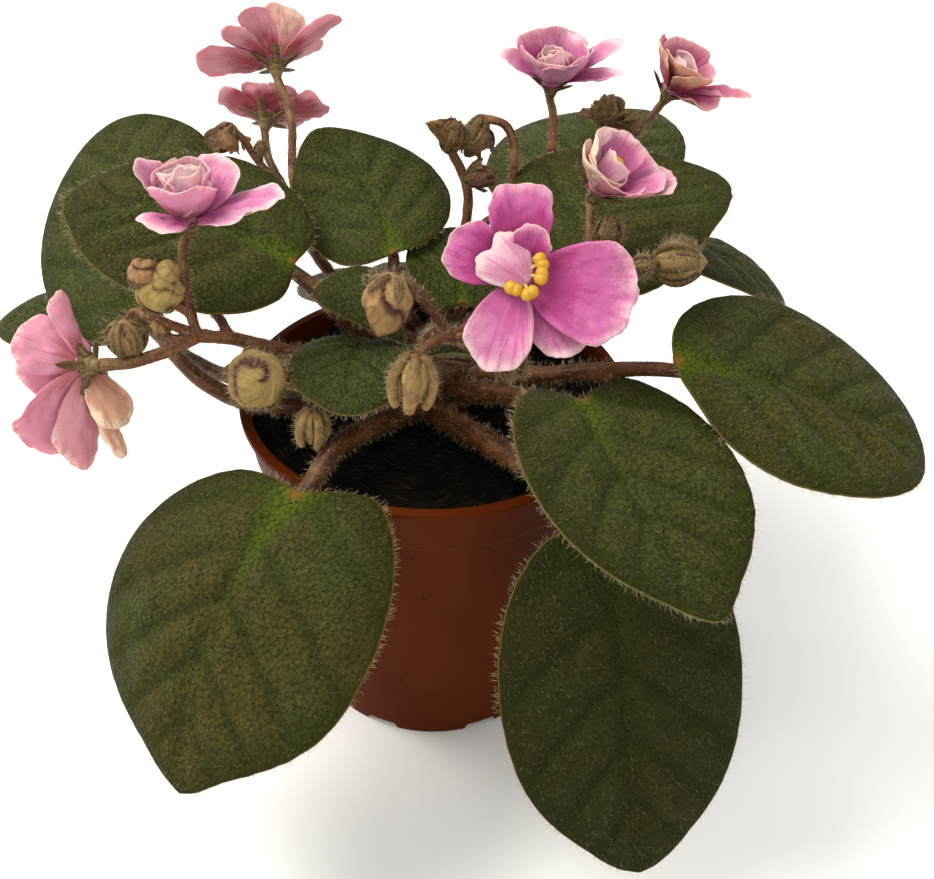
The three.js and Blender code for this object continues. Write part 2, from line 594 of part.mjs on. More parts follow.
// The soil's surface rises and falls by a sum of waves, and is level at the wall and the crown.
function makeSoil() {
  const bandBottom = POT_HEIGHT - BAND_HEIGHT;
  const slope = (RIM_RADIUS - LIP_STEP - BAND_STEP - BASE_RADIUS) / POT_HEIGHT;
  const inner = (height) => BASE_RADIUS + slope * height - WALL - GAP;
  const floor = FOOT_HEIGHT + WALL + GAP;
  const topRadius = inner(SOIL_TOP) + BAND_STEP - 0.2;
  const rings = [0.84, 0.68, 0.52, 0.36].map((share) => [topRadius * share, SOIL_TOP]);
  const profile = [
    [0, floor],
    [inner(floor), floor],
    [inner(bandBottom), bandBottom],
    [inner(bandBottom + 2 * BAND_STEP) + BAND_STEP, bandBottom + 2 * BAND_STEP],
    [topRadius, SOIL_TOP - 1],
    ...rings,
    [HOLE_RADIUS, SOIL_TOP],
    [HOLE_RADIUS, CROWN[0][1] - GAP],
    [0, CROWN[0][1] - GAP],
  ];
  const geometry = turned(profile, SOIL_SIDES);
  const position = geometry.getAttribute("position");
  for (let i = 0; i < position.count; i++) {
    const [x, y, z] = [position.getX(i), position.getY(i), position.getZ(i)];
    const reach = Math.hypot(x, y);
    if (z < SOIL_TOP - 0.1 || reach < HOLE_RADIUS + 1) continue;
    position.setZ(i, z + SOIL_ROUGHNESS * Math.sin(0.37 * x + 0.8) * Math.cos(0.31 * y - 0.4));
  }
  return solid(geometry);
}

function crownRadiusAt(height) {
  const upper = CROWN.findIndex(([, top]) => top >= height);
  const [[r0, z0], [r1, z1]] = [CROWN[upper - 1], CROWN[upper]];
  return r0 + ((r1 - r0) * (height - z0)) / (z1 - z0);
}

// Where a stem of some radius, on its way to its next point, leaves the crown clear of its surface.
function onCrown([angle, height], next, radius) {
  const outward = new THREE.Vector3(Math.cos(radians(angle)), Math.sin(radians(angle)), 0);
  const start = outward.clone().multiplyScalar(crownRadiusAt(height)).setZ(height);
  const away = next.clone().sub(start).normalize().dot(outward);
  const tilt = Math.sqrt(Math.max(0, 1 - away ** 2));
  return start.addScaledVector(outward, GAP + 0.1 + radius * tilt);
}

// A heart: round lobes behind the notch where the petiole comes in, and a more or less pointed tip.
function leafOutline({ length, width, point, lobes }) {
  return (angle) => {
    const [along, across] = [Math.cos(angle), Math.sin(angle)];
    const half = Math.abs(angle > Math.PI ? angle - 2 * Math.PI : angle) / Math.PI;
    const lobe = length * (across > 0 ? lobes[0] : lobes[1]);
    const notch = Math.max(0, (half - 1 + NOTCH_SHARE) / NOTCH_SHARE) ** NOTCH_POWER;
    const reach = along > 0 ? (1 - BLADE_MIDDLE) * length : BLADE_MIDDLE * length + lobe;
    const power = 0.92 + point * Math.max(0, along) ** 1.5 + BACK_FULLNESS * Math.min(0, along);
    const x = BLADE_MIDDLE * length + reach * along + lobe * notch;
    return [x, 0.5 * width * Math.sign(across) * Math.abs(across) ** power];
  };
}

// A point of the flat blade bent into shape: its arch, cup and ripple, and the midrib's sweep.
function leafPoint({ length, width, arch, sweep, cup, wave }, x, y) {
  const along = x / length;
  const across = (2 * y) / width;
  const bow = 4 * along * (1 - along);
  const ripple = wave * across ** 2 * Math.sin(5.2 * along + 1.7 * across + length);
  return [x, y + sweep * bow, arch * bow + cup * across ** 2 + ripple];
}

function makeLeaf(leaf) {
  const [base, tip] = [vector(leaf.base), vector(leaf.tip)];
  const length = base.distanceTo(tip);
  const sized = { ...leaf, length };
  const small = length < SMALL_LEAF;
  const frame = frameAlong(tip.clone().sub(base), new THREE.Vector3(0, 0, 1), leaf.roll);
  frame.setPosition(base);
  const blade = plate({
    outline: leafOutline(sized),
    middle: BLADE_MIDDLE * length,
    bend: (x, y) => leafPoint(sized, x, y),
    rings: small ? 2 : 3,
    sectors: small ? 12 : 18,
    thickness: BLADE_THICKNESS,
  });
  const endRadius = 0.62 * leaf.petiole;
  const drop = BLADE_THICKNESS + PETIOLE_GAP + endRadius;
  const below = (x) => {
    const [along, across, up] = leafPoint(sized, x, 0);
    return new THREE.Vector3(along, across, up - drop).applyMatrix4(frame);
  };
  const route = [...leaf.via.map(vector), below(0), below(PETIOLE_UNDER * length)];
  const path = [onCrown(leaf.from, route[0], leaf.petiole), ...route];
  const petiole = tube(path, [leaf.petiole, endRadius], PETIOLE_SIDES, PETIOLE_STEPS);
  addPiece(leaf.name + "_blade", solid(blade.applyMatrix4(frame)), GREEN);
  addPiece(leaf.name + "_petiole", solid(petiole), STEM);
}

function flowerFrame({ centre, facing, up }) {
  const z = vector(facing).normalize();
  const y = vector(up);
  y.addScaledVector(z, -y.dot(z)).normalize();
  const x = new THREE.Vector3().crossVectors(y, z);
  return new THREE.Matrix4().makeBasis(x, y, z).setPosition(vector(centre));
}

function petalOutline(length, width) {
  return (angle) => {
    const [along, across] = [Math.cos(angle), Math.sin(angle)];
    const reach = along > 0 ? (1 - PETAL_MIDDLE) * length : PETAL_MIDDLE * length;
    return [PETAL_MIDDLE * length + reach * along, 0.5 * width * across * (1 + 0.22 * along)];
  };
}

function makePetal({ turn, lean, length, width, curl, hollow }) {
  const petal = plate({
    outline: petalOutline(length, width),
    middle: PETAL_MIDDLE * length,
    bend: (x, y) => [x, y, curl * (x / length) ** 2 + hollow * ((2 * y) / width) ** 2],
    rings: 1,
    sectors: PETAL_SECTORS,
    thickness: PETAL_THICKNESS,
  });
  return petal.rotateY(-radians(lean)).translate(PETAL_START, 0, 0).rotateZ(radians(turn));
}

// A corolla: petals sunk into the top of its short tube, and a plain well for the anthers.
function makeFlower(flower) {
  const frame = flowerFrame(flower);
  const throat = solid(
    turned(
      [
        [0, -TUBE_LENGTH],
        [0.8, -TUBE_LENGTH],
        [TUBE_RADIUS, -0.6],
        [TUBE_RADIUS, 0.4],
        [0, 0.4],
      ],
      6,
    ).applyMatrix4(frame),
  );
  const petals = flower.petals.map((petal) => solid(makePetal(petal).applyMatrix4(frame)));
  const well = new THREE.CylinderGeometry(THROAT_RADIUS, THROAT_RADIUS, 12, 6);
  well.rotateX(Math.PI / 2).translate(0, 0, 6 + 0.4);
  const anthers = solid(makeAnthers(flower).applyMatrix4(frame));
  const room = solid(makeAnthers(flower, GAP).applyMatrix4(frame));
  const corolla = joined([throat, ...petals])
    .subtract(solid(well.applyMatrix4(frame)))
    .subtract(room);
  addPiece(flower.name + "_corolla", largest(corolla), PINK);
  addPiece(flower.name + "_anthers", anthers, YELLOW);
}

// A cut can leave a scrap loose: only the largest body stays, without its finest facets.
function largest(made) {
  const bodies = solid(geometryOf(made.simplify(FINEST))).decompose();
  return bodies.reduce((best, next) => (next.volume() > best.volume() ? next : best));
}

// The anthers sit on a short column, grown all round where they need room in the corolla.
function makeAnthers({ anthers }, grow = 0) {
  const column = new THREE.CylinderGeometry(0.9 + grow, 0.9 + grow, 3 + 2 * grow, 5);
  column.rotateX(Math.PI / 2).translate(0, 0, 0.4 + GAP + 1.5);
  const lobes = anthers.map(([x, y]) => {
    const reach = Math.hypot(x, y);
    const lobe = new THREE.CapsuleGeometry(ANTHER_RADIUS + grow, reach, 1, 4);
    return lobe
      .rotateZ(-Math.PI / 2)
      .translate(reach / 2, 0, 0)
      .rotateZ(Math.atan2(y, x))
      .translate(0, 0, 3.4);
  });
  return geometryOf(joined([column, ...lobes].map(solid)));
}

// Where a stem ends behind a flower's tube.
function behindFlower(name) {
  const flower = FLOWERS.find((each) => each.name === name);
  return new THREE.Vector3(0, 0, -TUBE_LENGTH - GAP - 0.4).applyMatrix4(flowerFrame(flower));
}

// A round body about the Z axis whose radius rises and falls once for each calyx lobe.
function ribbed(profile, rib) {
  const geometry = turned(profile, 2 * CALYX_LOBES);
  const position = geometry.getAttribute("position");
  for (let i = 0; i < position.count; i++) {
    const [x, y] = [position.getX(i), position.getY(i)];
    const scale = 1 + rib * Math.cos(CALYX_LOBES * Math.atan2(y, x));
    position.setXY(i, x * scale, y * scale);
  }
  return geometry;
}

// A bud: a rolled ball of petals in a calyx whose lobes stand out as ribs.
function makeBud({ at, axis, length, radius }) {
  const z = vector(axis).normalize();
  const turn = new THREE.Quaternion().setFromUnitVectors(new THREE.Vector3(0, 0, 1), z);
  const ball = ribbed(
    [
      [0, -0.05 * length],
      [0.45 * radius, 0.05 * length],
      [1.02 * radius, 0.42 * length],
      [0.72 * radius, 0.82 * length],
      [0, length],
    ],
    CALYX_RIB,
  );
  return solid(ball.applyQuaternion(turn).translate(...at));
}

// The calyx of an open flower is a shallow star behind its tube, clear of the petals' backs.
function makeCalyx(name) {
  const star = ribbed(
    [
      [0, 0],
      [1.2, 0.1],
      [2.6, 1.1],
      [1.5, 0.9],
      [0, 0.9],
    ],
    0.42,
  );
  star.translate(0, 0, -TUBE_LENGTH - GAP - 1);
  return solid(star.applyMatrix4(flowerFrame(FLOWERS.find((each) => each.name === name))));
}

function makeSpray({ name, from, stems, buds }) {
  const pieces = stems.flatMap(({ through, flower, radius }, i) => {
    const points = through.map(vector);
    if (i === 0) points.unshift(onCrown(from, points[0], radius[0]));
    if (flower) points.push(behindFlower(flower));
    const steps = Math.ceil(STEM_STEPS_A_POINT * (points.length - 1));
    const stem = solid(tube(points, radius, STEM_SIDES, steps));
    return flower ? [stem, makeCalyx(flower)] : [stem];
  });
  addPiece(name, largest(joined([...pieces, ...buds.map(makeBud)])), STEM);
}

addPiece("pot", makePot(), TERRACOTTA);
addPiece("soil", makeSoil(), PEAT);
addPiece("crown", solid(turned(CROWN, CROWN_SIDES)), STEM);
LEAVES.forEach(makeLeaf);
SPRAYS.forEach(makeSpray);
FLOWERS.forEach(makeFlower);

export default root;
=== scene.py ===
import math

import bpy
import numpy as np
from mathutils import Matrix, Vector


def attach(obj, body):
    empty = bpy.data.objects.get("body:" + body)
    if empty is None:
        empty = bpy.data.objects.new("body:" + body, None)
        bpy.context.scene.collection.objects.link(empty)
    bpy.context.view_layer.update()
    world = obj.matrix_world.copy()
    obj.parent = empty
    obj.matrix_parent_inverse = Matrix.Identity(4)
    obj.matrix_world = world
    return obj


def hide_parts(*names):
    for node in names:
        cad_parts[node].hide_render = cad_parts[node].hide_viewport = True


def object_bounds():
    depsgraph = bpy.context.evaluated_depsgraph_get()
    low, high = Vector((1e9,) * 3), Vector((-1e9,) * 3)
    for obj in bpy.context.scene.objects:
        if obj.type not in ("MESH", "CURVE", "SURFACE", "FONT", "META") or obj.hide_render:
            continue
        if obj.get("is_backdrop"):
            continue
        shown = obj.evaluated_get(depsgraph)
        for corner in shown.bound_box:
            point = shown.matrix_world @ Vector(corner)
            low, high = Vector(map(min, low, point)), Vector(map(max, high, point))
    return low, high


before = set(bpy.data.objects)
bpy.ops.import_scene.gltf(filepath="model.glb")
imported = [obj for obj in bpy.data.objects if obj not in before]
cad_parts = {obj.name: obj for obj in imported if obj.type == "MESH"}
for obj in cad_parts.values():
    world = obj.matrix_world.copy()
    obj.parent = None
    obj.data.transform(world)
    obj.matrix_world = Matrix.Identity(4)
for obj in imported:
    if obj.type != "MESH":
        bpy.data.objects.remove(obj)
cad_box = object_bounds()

MM = 0.001
TURN = 2 * math.pi
BODY = "root"
UP = np.array([0.0, 0.0, 1.0])

# Pot and soil, as in the solids
POT_HEIGHT = 85
RIM_RADIUS = 45
BASE_RADIUS = 33
WALL = 1.5
BAND_HEIGHT = 13
BAND_STEP = 1.1
LIP_HEIGHT = 1.8
LIP_STEP = 0.9
FOOT_HEIGHT = 2.2
FOOT_WIDTH = 2.4
HUB_RADIUS = 12
NOTCHES = 8
NOTCH_WIDTH = 8
NOTCH_HEIGHT = 2
SOIL_TOP = 80
SOIL_ROUGHNESS = 1.1
GAP = 0.3
POT_SLOPE = (RIM_RADIUS - LIP_STEP - BAND_STEP - BASE_RADIUS) / POT_HEIGHT

# Crown, as pairs of radius and height
CROWN = [[0, 60], [5, 61], [7.2, 70], [7.6, 82], [7.2, 94], [4.8, 98.5], [0, 100]]

# Leaf blades and their stalks, as in the solids
BLADE_THICKNESS = 1
BLADE_MIDDLE = 0.43
NOTCH_SHARE = 0.14
NOTCH_POWER = 1.4
BACK_FULLNESS = 0.12
SMALL_LEAF = 30
PETIOLE_UNDER = 0.22

# Petals and the short tubes behind them, as in the solids
PETAL_MIDDLE = 0.58
PETAL_START = 1.5
TUBE_LENGTH = 3.6
TUBE_RADIUS = 2.7
TUBE_PROFILE = [
  [0, -TUBE_LENGTH],
  [0.9, -TUBE_LENGTH],
  [1.3, -2.2],
  [TUBE_RADIUS, -0.5],
  [TUBE_RADIUS, 0.5],
  [1.7, 0.3],
  [1.2, -1.4],
  [0, -1.8],
]

# What only this script adds
WAVES = 12
CORNER = 0.45
SOFT_CORNER = 0.5
FULL_LEAF = 58
VEIN_SPACING = 0.19
QUILT = 1.9
PETAL_SETBACK = 0.15
FRILL_RUFFLE = 2.2
ANTHER_SPREAD = 0.6
ANTHER_HEIGHT = 3.4
ANTHER_LOBE = (1.35, 1.35, 1.15)
ANTHER_MIDDLE = (1.0, 1.0, 0.9)
FILAMENT_RADII = (0.5, 0.35)
STYLE = [[0, 0, 0.6], [0.2, 0.1, 1.5], [0.5, 0.2, 2.3]]
STYLE_RADII = (0.4, 0.22)
SEPALS = 5
DRY_PETALS = 7
STALK_TAPER = 0.62
PETAL_THICKNESS = 0.5

# Hairs: how many to a millimetre of a blade's rim, to a square millimetre of a stalk or stem and on the
# whole crown, how much they curve and taper, and their lengths and widths: those of rims and buds have
# their shortest and longest length
RIM_HAIRS = 2.6
STALK_HAIRS = 0.8
STEM_HAIRS = 1.4
CROWN_HAIRS = 900
HAIR_CURVE = 0.3
HAIR_TAPER = 0.7
RIM_HAIR = (1.0, 2.3, 0.065)
BUD_HAIR = (1.1, 2.3, 0.068)
STALK_HAIR = (1.7, 0.075)
UNDER_STALK_HAIR = (1.1, 0.07)
STEM_HAIR = (1.8, 0.075)
BUD_LOBE_HAIR = (1.9, 0.068)
FLOWER_LOBE_HAIR = (1.2, 0.08)
CROWN_HAIR = (1.8, 0.09)

# Hairs of a blade's two sides: how far they are lifted from its upper side, which way they point, how
# many there are to a square millimetre, their length and their width
BLADE_HAIRS = [
  [0, 1, 0.45, 1.3, 0.034],
  [-1, -1, 0.2, 1.1, 0.05],
]

# How fine the meshes are: rings and points round a ring, and steps and sides of round forms
LEAF_GRID = (19, 156)
SMALL_LEAF_GRID = (12, 84)
PETAL_GRIDS = [[14, (14, 78)], [9, (10, 58)], [0, (7, 36)]]
POT_SIDES = 216
SOIL_SIDES = 160
SOIL_RINGS = 64
RIM_STEPS = 720
CROWN_GRID = (42, 60)
BUD_GRID = (28, 42)
STALK_SIDES = 18
STEM_SIDES = 12
LOBE_STEPS = 15
LOBE_SIDES = 10
THREAD_SIDES = 8
TUBE_SIDES = 32
FUNNEL_SIDES = 24

# Seeds: where they start for each kind of piece
STALK_SEED = 300
SPRAY_SEED = 500
BUD_SEED = 900
CROWN_SEED = 77

# How a bud is rolled: its folds' arms and twist, how deep and how sharp they are, how crumpled it is,
# its girth, and how far its calyx wraps it, stands off and shows green, how wide and thick a lobe is
# and how hairy it is
BUD_COLUMNS = "arms twist depth sharp crumple girth wrap flare lobe thick green taper fuzz".split()
BUD_KINDS = {
  "swirl": [1, 9.5, 0.3, 0.5, 0.04, 1.0, 0.42, 0.08, 0.34, 0.42, 0.6, 0.8, 2.6],
  "globe": [3, 2.6, 0.12, 0.25, 0.035, 1.02, 0.25, 0.0, 0.25, 0.42, 0.9, 0.8, 0.2],
  "closed": [5, 1.2, 0.12, 0.4, 0.04, 0.92, 0.86, 0.05, 0.34, 0.36, 0.5, 0.74, 1.8],
  "claw": [5, 0.4, 0.3, 0.5, 0.06, 0.7, 0.97, 0.42, 0.3, 0.75, 0.9, 0.62, 1.2],
  "crumpled": [3, 2.4, 0.3, 0.4, 0.08, 1.0, 0.3, 0.05, 0.22, 0.42, 0.3, 0.8, 0.15],
  "withered": [5, 1.0, 0.4, 0.5, 0.12, 0.6, 0.95, 0.12, 0.26, 0.5, 0.15, 0.78, 0.5],
}

# The camera stands where the photograph was taken from
FRAME_WIDTH = 934
FOCAL_PIXELS = 1200
SENSOR = 36
CAMERA_PLACE = [8.0, -227.4, 249.2]
CAMERA_PITCH = 38.31
CAMERA_ROLL = 0.97

# The floor, the sky and two soft lamps: name, place, size, power in watts and colour
FLOOR_REACH = 3000
SKY_COLOUR = (1.0, 0.98, 0.95)
SKY_STRENGTH = 0.95
LAMP_TARGET = (0, 0, 90)
LAMPS = [
  ["key", (-500, 60, 900), 520, 11, (1.0, 0.96, 0.9)],
  ["fill", (250, -700, 500), 700, 1.5, (1.0, 0.97, 0.94)],
]

# Leaves: the angle and height where a stalk leaves the crown, the points that it passes, the blade's
# base and tip, its width, roll, arch, sideways sweep, cup and waves, how pointed it is, its two lobes
# as shares of its length, the stalk's radius, how fresh the green is and how much painted shade
# darkens it where other leaves shadow it
LEAF_COLUMNS = (
  "name from via base tip width roll arch sweep cup wave point lobes petiole fresh shade"
).split()
LEAVES = [
  ["leaf_front_left", [-114, 86], [[-19.5, -31, 91]], [-26.5, -42.9, 89.5], [-48.7, -83.4, 43.8], 62.5,
   -1.3, 4.8, -4.3, -8, 0.8, 1.31, [0.105, 0.035], 3.1, 0.0],
  ["leaf_front_low", [-83, 85.2], [[14, -28, 90], [27, -41, 90]], [38, -47.7, 83.5], [47, -83.1, 17.6],
   53.1, 1.6, 2.6, -0.3, -2.7, 0.8, 0.74, [0.03, 0.05], 3.1, 0.0, 0.6],
  ["leaf_front_right", [-48, 89.2], [[17, -19, 97]], [31.1, -32.5, 106.6], [54.4, -78.1, 90.9], 47.2,
   -12.8, 4.2, -5.3, 4, 0.6, 0.94, [0.14, 0.13], 2.8, 0.25, 0.12],
  ["leaf_right", [-16, 91.5], [[24, -12, 97.5], [38, -19, 104]], [50, -25.9, 111.8], [106.5, -24.3, 89.6],
   51.7, 11.6, 1.6, 2, -0.3, 0.6, 0.02, [0.01, -0.06], 2.5, 0.1],
  ["leaf_right_rear", [38, 86], [[30, 20, 96]], [53.5, 37, 105], [85, 23, 95], 40, -19, 4, 0, -1.3, 0.5,
   0.45, [0.1, 0.1], 2.4, 0.2],
  ["leaf_rear_right", [14, 92], [[20, 2, 106]], [33.5, 0, 118], [60.3, 36.5, 125.5], 50, 1, 0.8, 7, 1.4,
   0.5, 0.0, [0.1, 0.1], 2.6, 0.1],
  ["leaf_rear", [62, 90], [[15, 28, 102]], [29, 46, 109.5], [56.7, 98.5, 112.7], 51.6, -4, 2.5, 4, -2.9,
   0.5, 0.6, [0.1, 0.1], 2.6, 0.7],
  ["leaf_top", [112, 93], [[-9, 11, 105]], [-9.5, 13.9, 112.8], [-30, 50.8, 126.3], 36.9, -8, -2.5, -4.2,
   -3.1, 0.5, 0.56, [0.02, 0.02], 2.2, 0.2],
  ["leaf_small_rear", [72, 97], [], [6.4, 6.5, 104.3], [4.6, 29, 111.5], 25, 0, 1.5, 0, 1.5, 0.3, 0.4,
   [0.14, 0.14], 1.5, 0.5],
  ["leaf_small_left", [166, 97.5], [], [-7, -3.5, 106], [-26, -2, 112], 25, 4, 3, -1, -0.4, 0.3, 0.42,
   [0.14, 0.14], 1.4, 0.5],
  ["leaf_small_front", [222, 95.5], [[-11, -10, 99]], [-13.8, -7.7, 103.4], [-16.1, -36.7, 104.5], 27, 0,
   2.4, -1.3, -0.6, 0.3, 0.3, [0.08, 0.18], 1.4, 0.9],
  ["leaf_smallest", [-70, 97], [], [8.5, -19.5, 107.5], [-3.5, -23.5, 109], 8.5, 20, 1, 0, 1, 0, 0.4,
   [0.1, 0.1], 1.1, 0.8],
  ["leaf_left", [168, 90.5], [[-20, 2, 102.5]], [-30.5, 5.3, 115.1], [-81.1, 12.2, 126.6], 52.3, -8.4,
   2.3, -1.7, -1.1, 0.8, 0.72, [0.04, 0.06], 2.8, 0.15],
  ["leaf_left_rear", [213, 87.5], [[-31, -18, 92.5], [-46, -15, 93.5], [-60, -2, 97]],
   [-66.4, 8.8, 102.3], [-86, 70, 119], 54, -24, 0, 1.2, -5, 0.8, 0.25, [0.12, 0.1], 2.5, 0.4],
  ["leaf_left_far", [186, 84.8], [[-28, -6, 89.5], [-46, -3, 89], [-63, 13, 85.6]], [-75, 27, 87],
   [-109.5, 24, 85.2], 41, 9, 3, 0, -1.6, 0.5, 0.43, [0.1, 0.1], 2.2, 0.6],
  ["leaf_back_left", [107, 85.2], [[-12, 32, 91.5]], [-17, 46, 90], [-26, 82, 56], 38, 0, 4, 0, -2, 0.5,
   0.5, [0.13, 0.13], 2.3, 0.3],
  ["leaf_back_right", [78, 84.8], [[12, 32, 91]], [18, 46, 89], [27, 80, 52], 38, 0, 4, 0, -2, 0.5, 0.5,
   [0.13, 0.13], 2.3, 0.3],
]

# Flowers: how deep and how peach their pink is, the count of frills in the middle, the middle's place,
# the way a flower faces and its upper side, its petals, the places of its anthers, and where they
# differ from the usual, how full the frills are and how high the anthers stand
FLOWER_COLUMNS = "name deep peach frills centre facing up petals anthers fullness anther_height".split()
# A petal: its turn about the flower's middle, its lean, length, width, curl and hollow, and where they
# differ from the usual, its colours, ruffles and cleft, its start from the middle and its lift
PETAL_COLUMNS = "turn lean length width curl hollow deep peach ruffle cleft start lift".split()
FLOWERS = [
  ["flower_front", 0.85, 0.05, 0, [18, -20, 127], [-0.05, -0.75, 0.66], [0, 0.6, 0.8], [
    [90, 12, 17, 12.8, -1, 1, 0.95],
    [157, 14, 14.5, 12, -1, 1, 1.0],
    [252, 8, 18.3, 13.3, -2, 1, 0.5],
    [-14, 10, 22, 20, -2, 2, 0.72],
    [-51, -6, 17.5, 11.5, 1, 0, 0.6],
    [139, 30, 10.5, 11.5, -4, -2.4, 0.28, 0.0, 0.3, 0.1, -2.5, 2.2],
    [68, 38, 9.5, 7.5, -1, 1, 0.95, 0.05, 2.2],
  ], [[4.1, 2.2], [4.2, -0.6], [-1.2, -3.2], [2, -4.1]]],
  ["flower_left_upper", 0.5, 0.15, 9, [-48.6, -11.5, 135], [0.05, -0.1, 0.99], [0, 1, 0], [
    [172, 50, 13.5, 8.5, 1, 1],
    [277, 58, 13, 12.5, 0, 2],
    [240, 24, 10, 10, -1, 0],
    [-9, 29, 20, 10.5, -2, 0],
    [-27, 25, 16, 10, 0, 0],
    [39, 44, 13, 13, 0, 1],
    [118, 70, 10.5, 11.5, 2, 2],
    [30, 68, 11, 9, 1, 2],
  ], [[0.5, 0]], 1.2],
  ["flower_far_left", 0.55, 0.3, 4, [-71.6, -23.3, 105.8], [-0.85, 0.4, -0.33], [0, 0, 1], [
    [95, -5, 15, 5.5, 1, 1],
    [64, 34, 13.5, 13, 0, 2],
    [26, 50, 12, 11, 0, 1],
    [-35, 28, 19, 16, 0, -2],
    [-60, 6, 20, 12, 0, 2, 0.4, 0.45],
    [-90, -15, 13.5, 10.5, -1, 1, 0.25, 1.0],
    [125, 46, 13, 11, 0, 1],
    [-80, -7, 19.5, 5.5, 0, 1, 0.25, 1.0],
    [20, 66, 9.5, 9, 1, 1],
  ], [[0.5, 0]]],
  ["flower_top_left", 0.72, 0.45, 4, [-41.5, 66, 137], [-0.15, 0.8, 0.58], [0, 0, 1], [
    [-11, 8, 18.5, 13, 0, 1],
    [35, 16, 14, 7.5, 0, 1],
    [69, 22, 15, 8.5, 0, 1],
    [117, 50, 12.5, 14, 1, 3, 0.1, 0.75],
    [151, 17, 18.5, 6.5, 0, 1],
    [211, 34, 15, 9.5, 0, 1],
    [300, 36, 14, 13, 0, 1],
  ], [[0.5, 0]]],
  ["flower_top_left_low", 1.1, 0.45, 3, [-44.3, 64, 123.6], [0.1, 0.84, 0.52], [0, 0, 1], [
    [9, 12, 12, 12, 0, 1],
    [76, 20, 8.6, 9, 0, 1],
    [133, 22, 9.3, 9.5, 0, 1],
    [171, 10, 14.5, 10, 0, 1],
    [225, 24, 10.5, 12, 0, 1],
    [310, 24, 10.5, 12, 0, 1],
  ], [[0.5, 0]]],
  ["flower_top", 0.55, 0.0, 5, [27, 53, 138.5], [0.06, -0.14, 0.99], [0, 1, 0], [
    [176, 24, 12.5, 8, 0, 1],
    [246, 42, 11, 15, 2, 3, 0.5, 0.0],
    [304, 40, 11, 14, 2, 3, 0.5, 0.0],
    [100, 58, 11, 17, 1, 2],
    [40, 60, 11, 15, 1, 2],
    [12, 30, 17.5, 6.5, 1, 1],
    [-18, 23, 15.5, 6.5, -1, 1],
  ], [[0.5, 0]]],
  ["flower_top_right", 0.85, 1.0, 4, [57.2, 59.2, 134.6], [0.36, -0.2, 0.88], [0, 1, 0], [
    [178, 49, 12.5, 12, 1, 2, 1.1, 1.0],
    [105, 60, 11, 13, 1, 2],
    [42, 50, 10, 10, 0, 1],
    [-3, 22, 17.5, 4.5, 0, 1],
    [-42, 14, 11, 12, 1, 2],
    [240, 58, 11, 11, 1, 2, 1.1, 1.0],
    [292, 52, 10, 10, 1, 1],
  ], [[0.5, 0]]],
  ["flower_right", 0.7, 0.4, 2, [35.2, 4.6, 134.6], [0.4, -0.2, 0.9], [0, 1, 0], [
    [78, 58, 11.5, 10, 1, 2],
    [160, 54, 11.5, 12, 2, 3, 0.05, 0.9],
    [192, 42, 9.5, 10, 1, 2, 0.1, 0.9],
    [236, 45, 8.5, 9, 1, 2, 0.1, 0.9],
    [290, 38, 10, 10, 1, 2],
    [-30, 37, 13, 13, 1, 2],
    [0, 36, 14.5, 11, 0, 1],
    [32, 37, 12, 12, 0, 1],
  ], [[0.5, 0]], 1, 6.5],
]

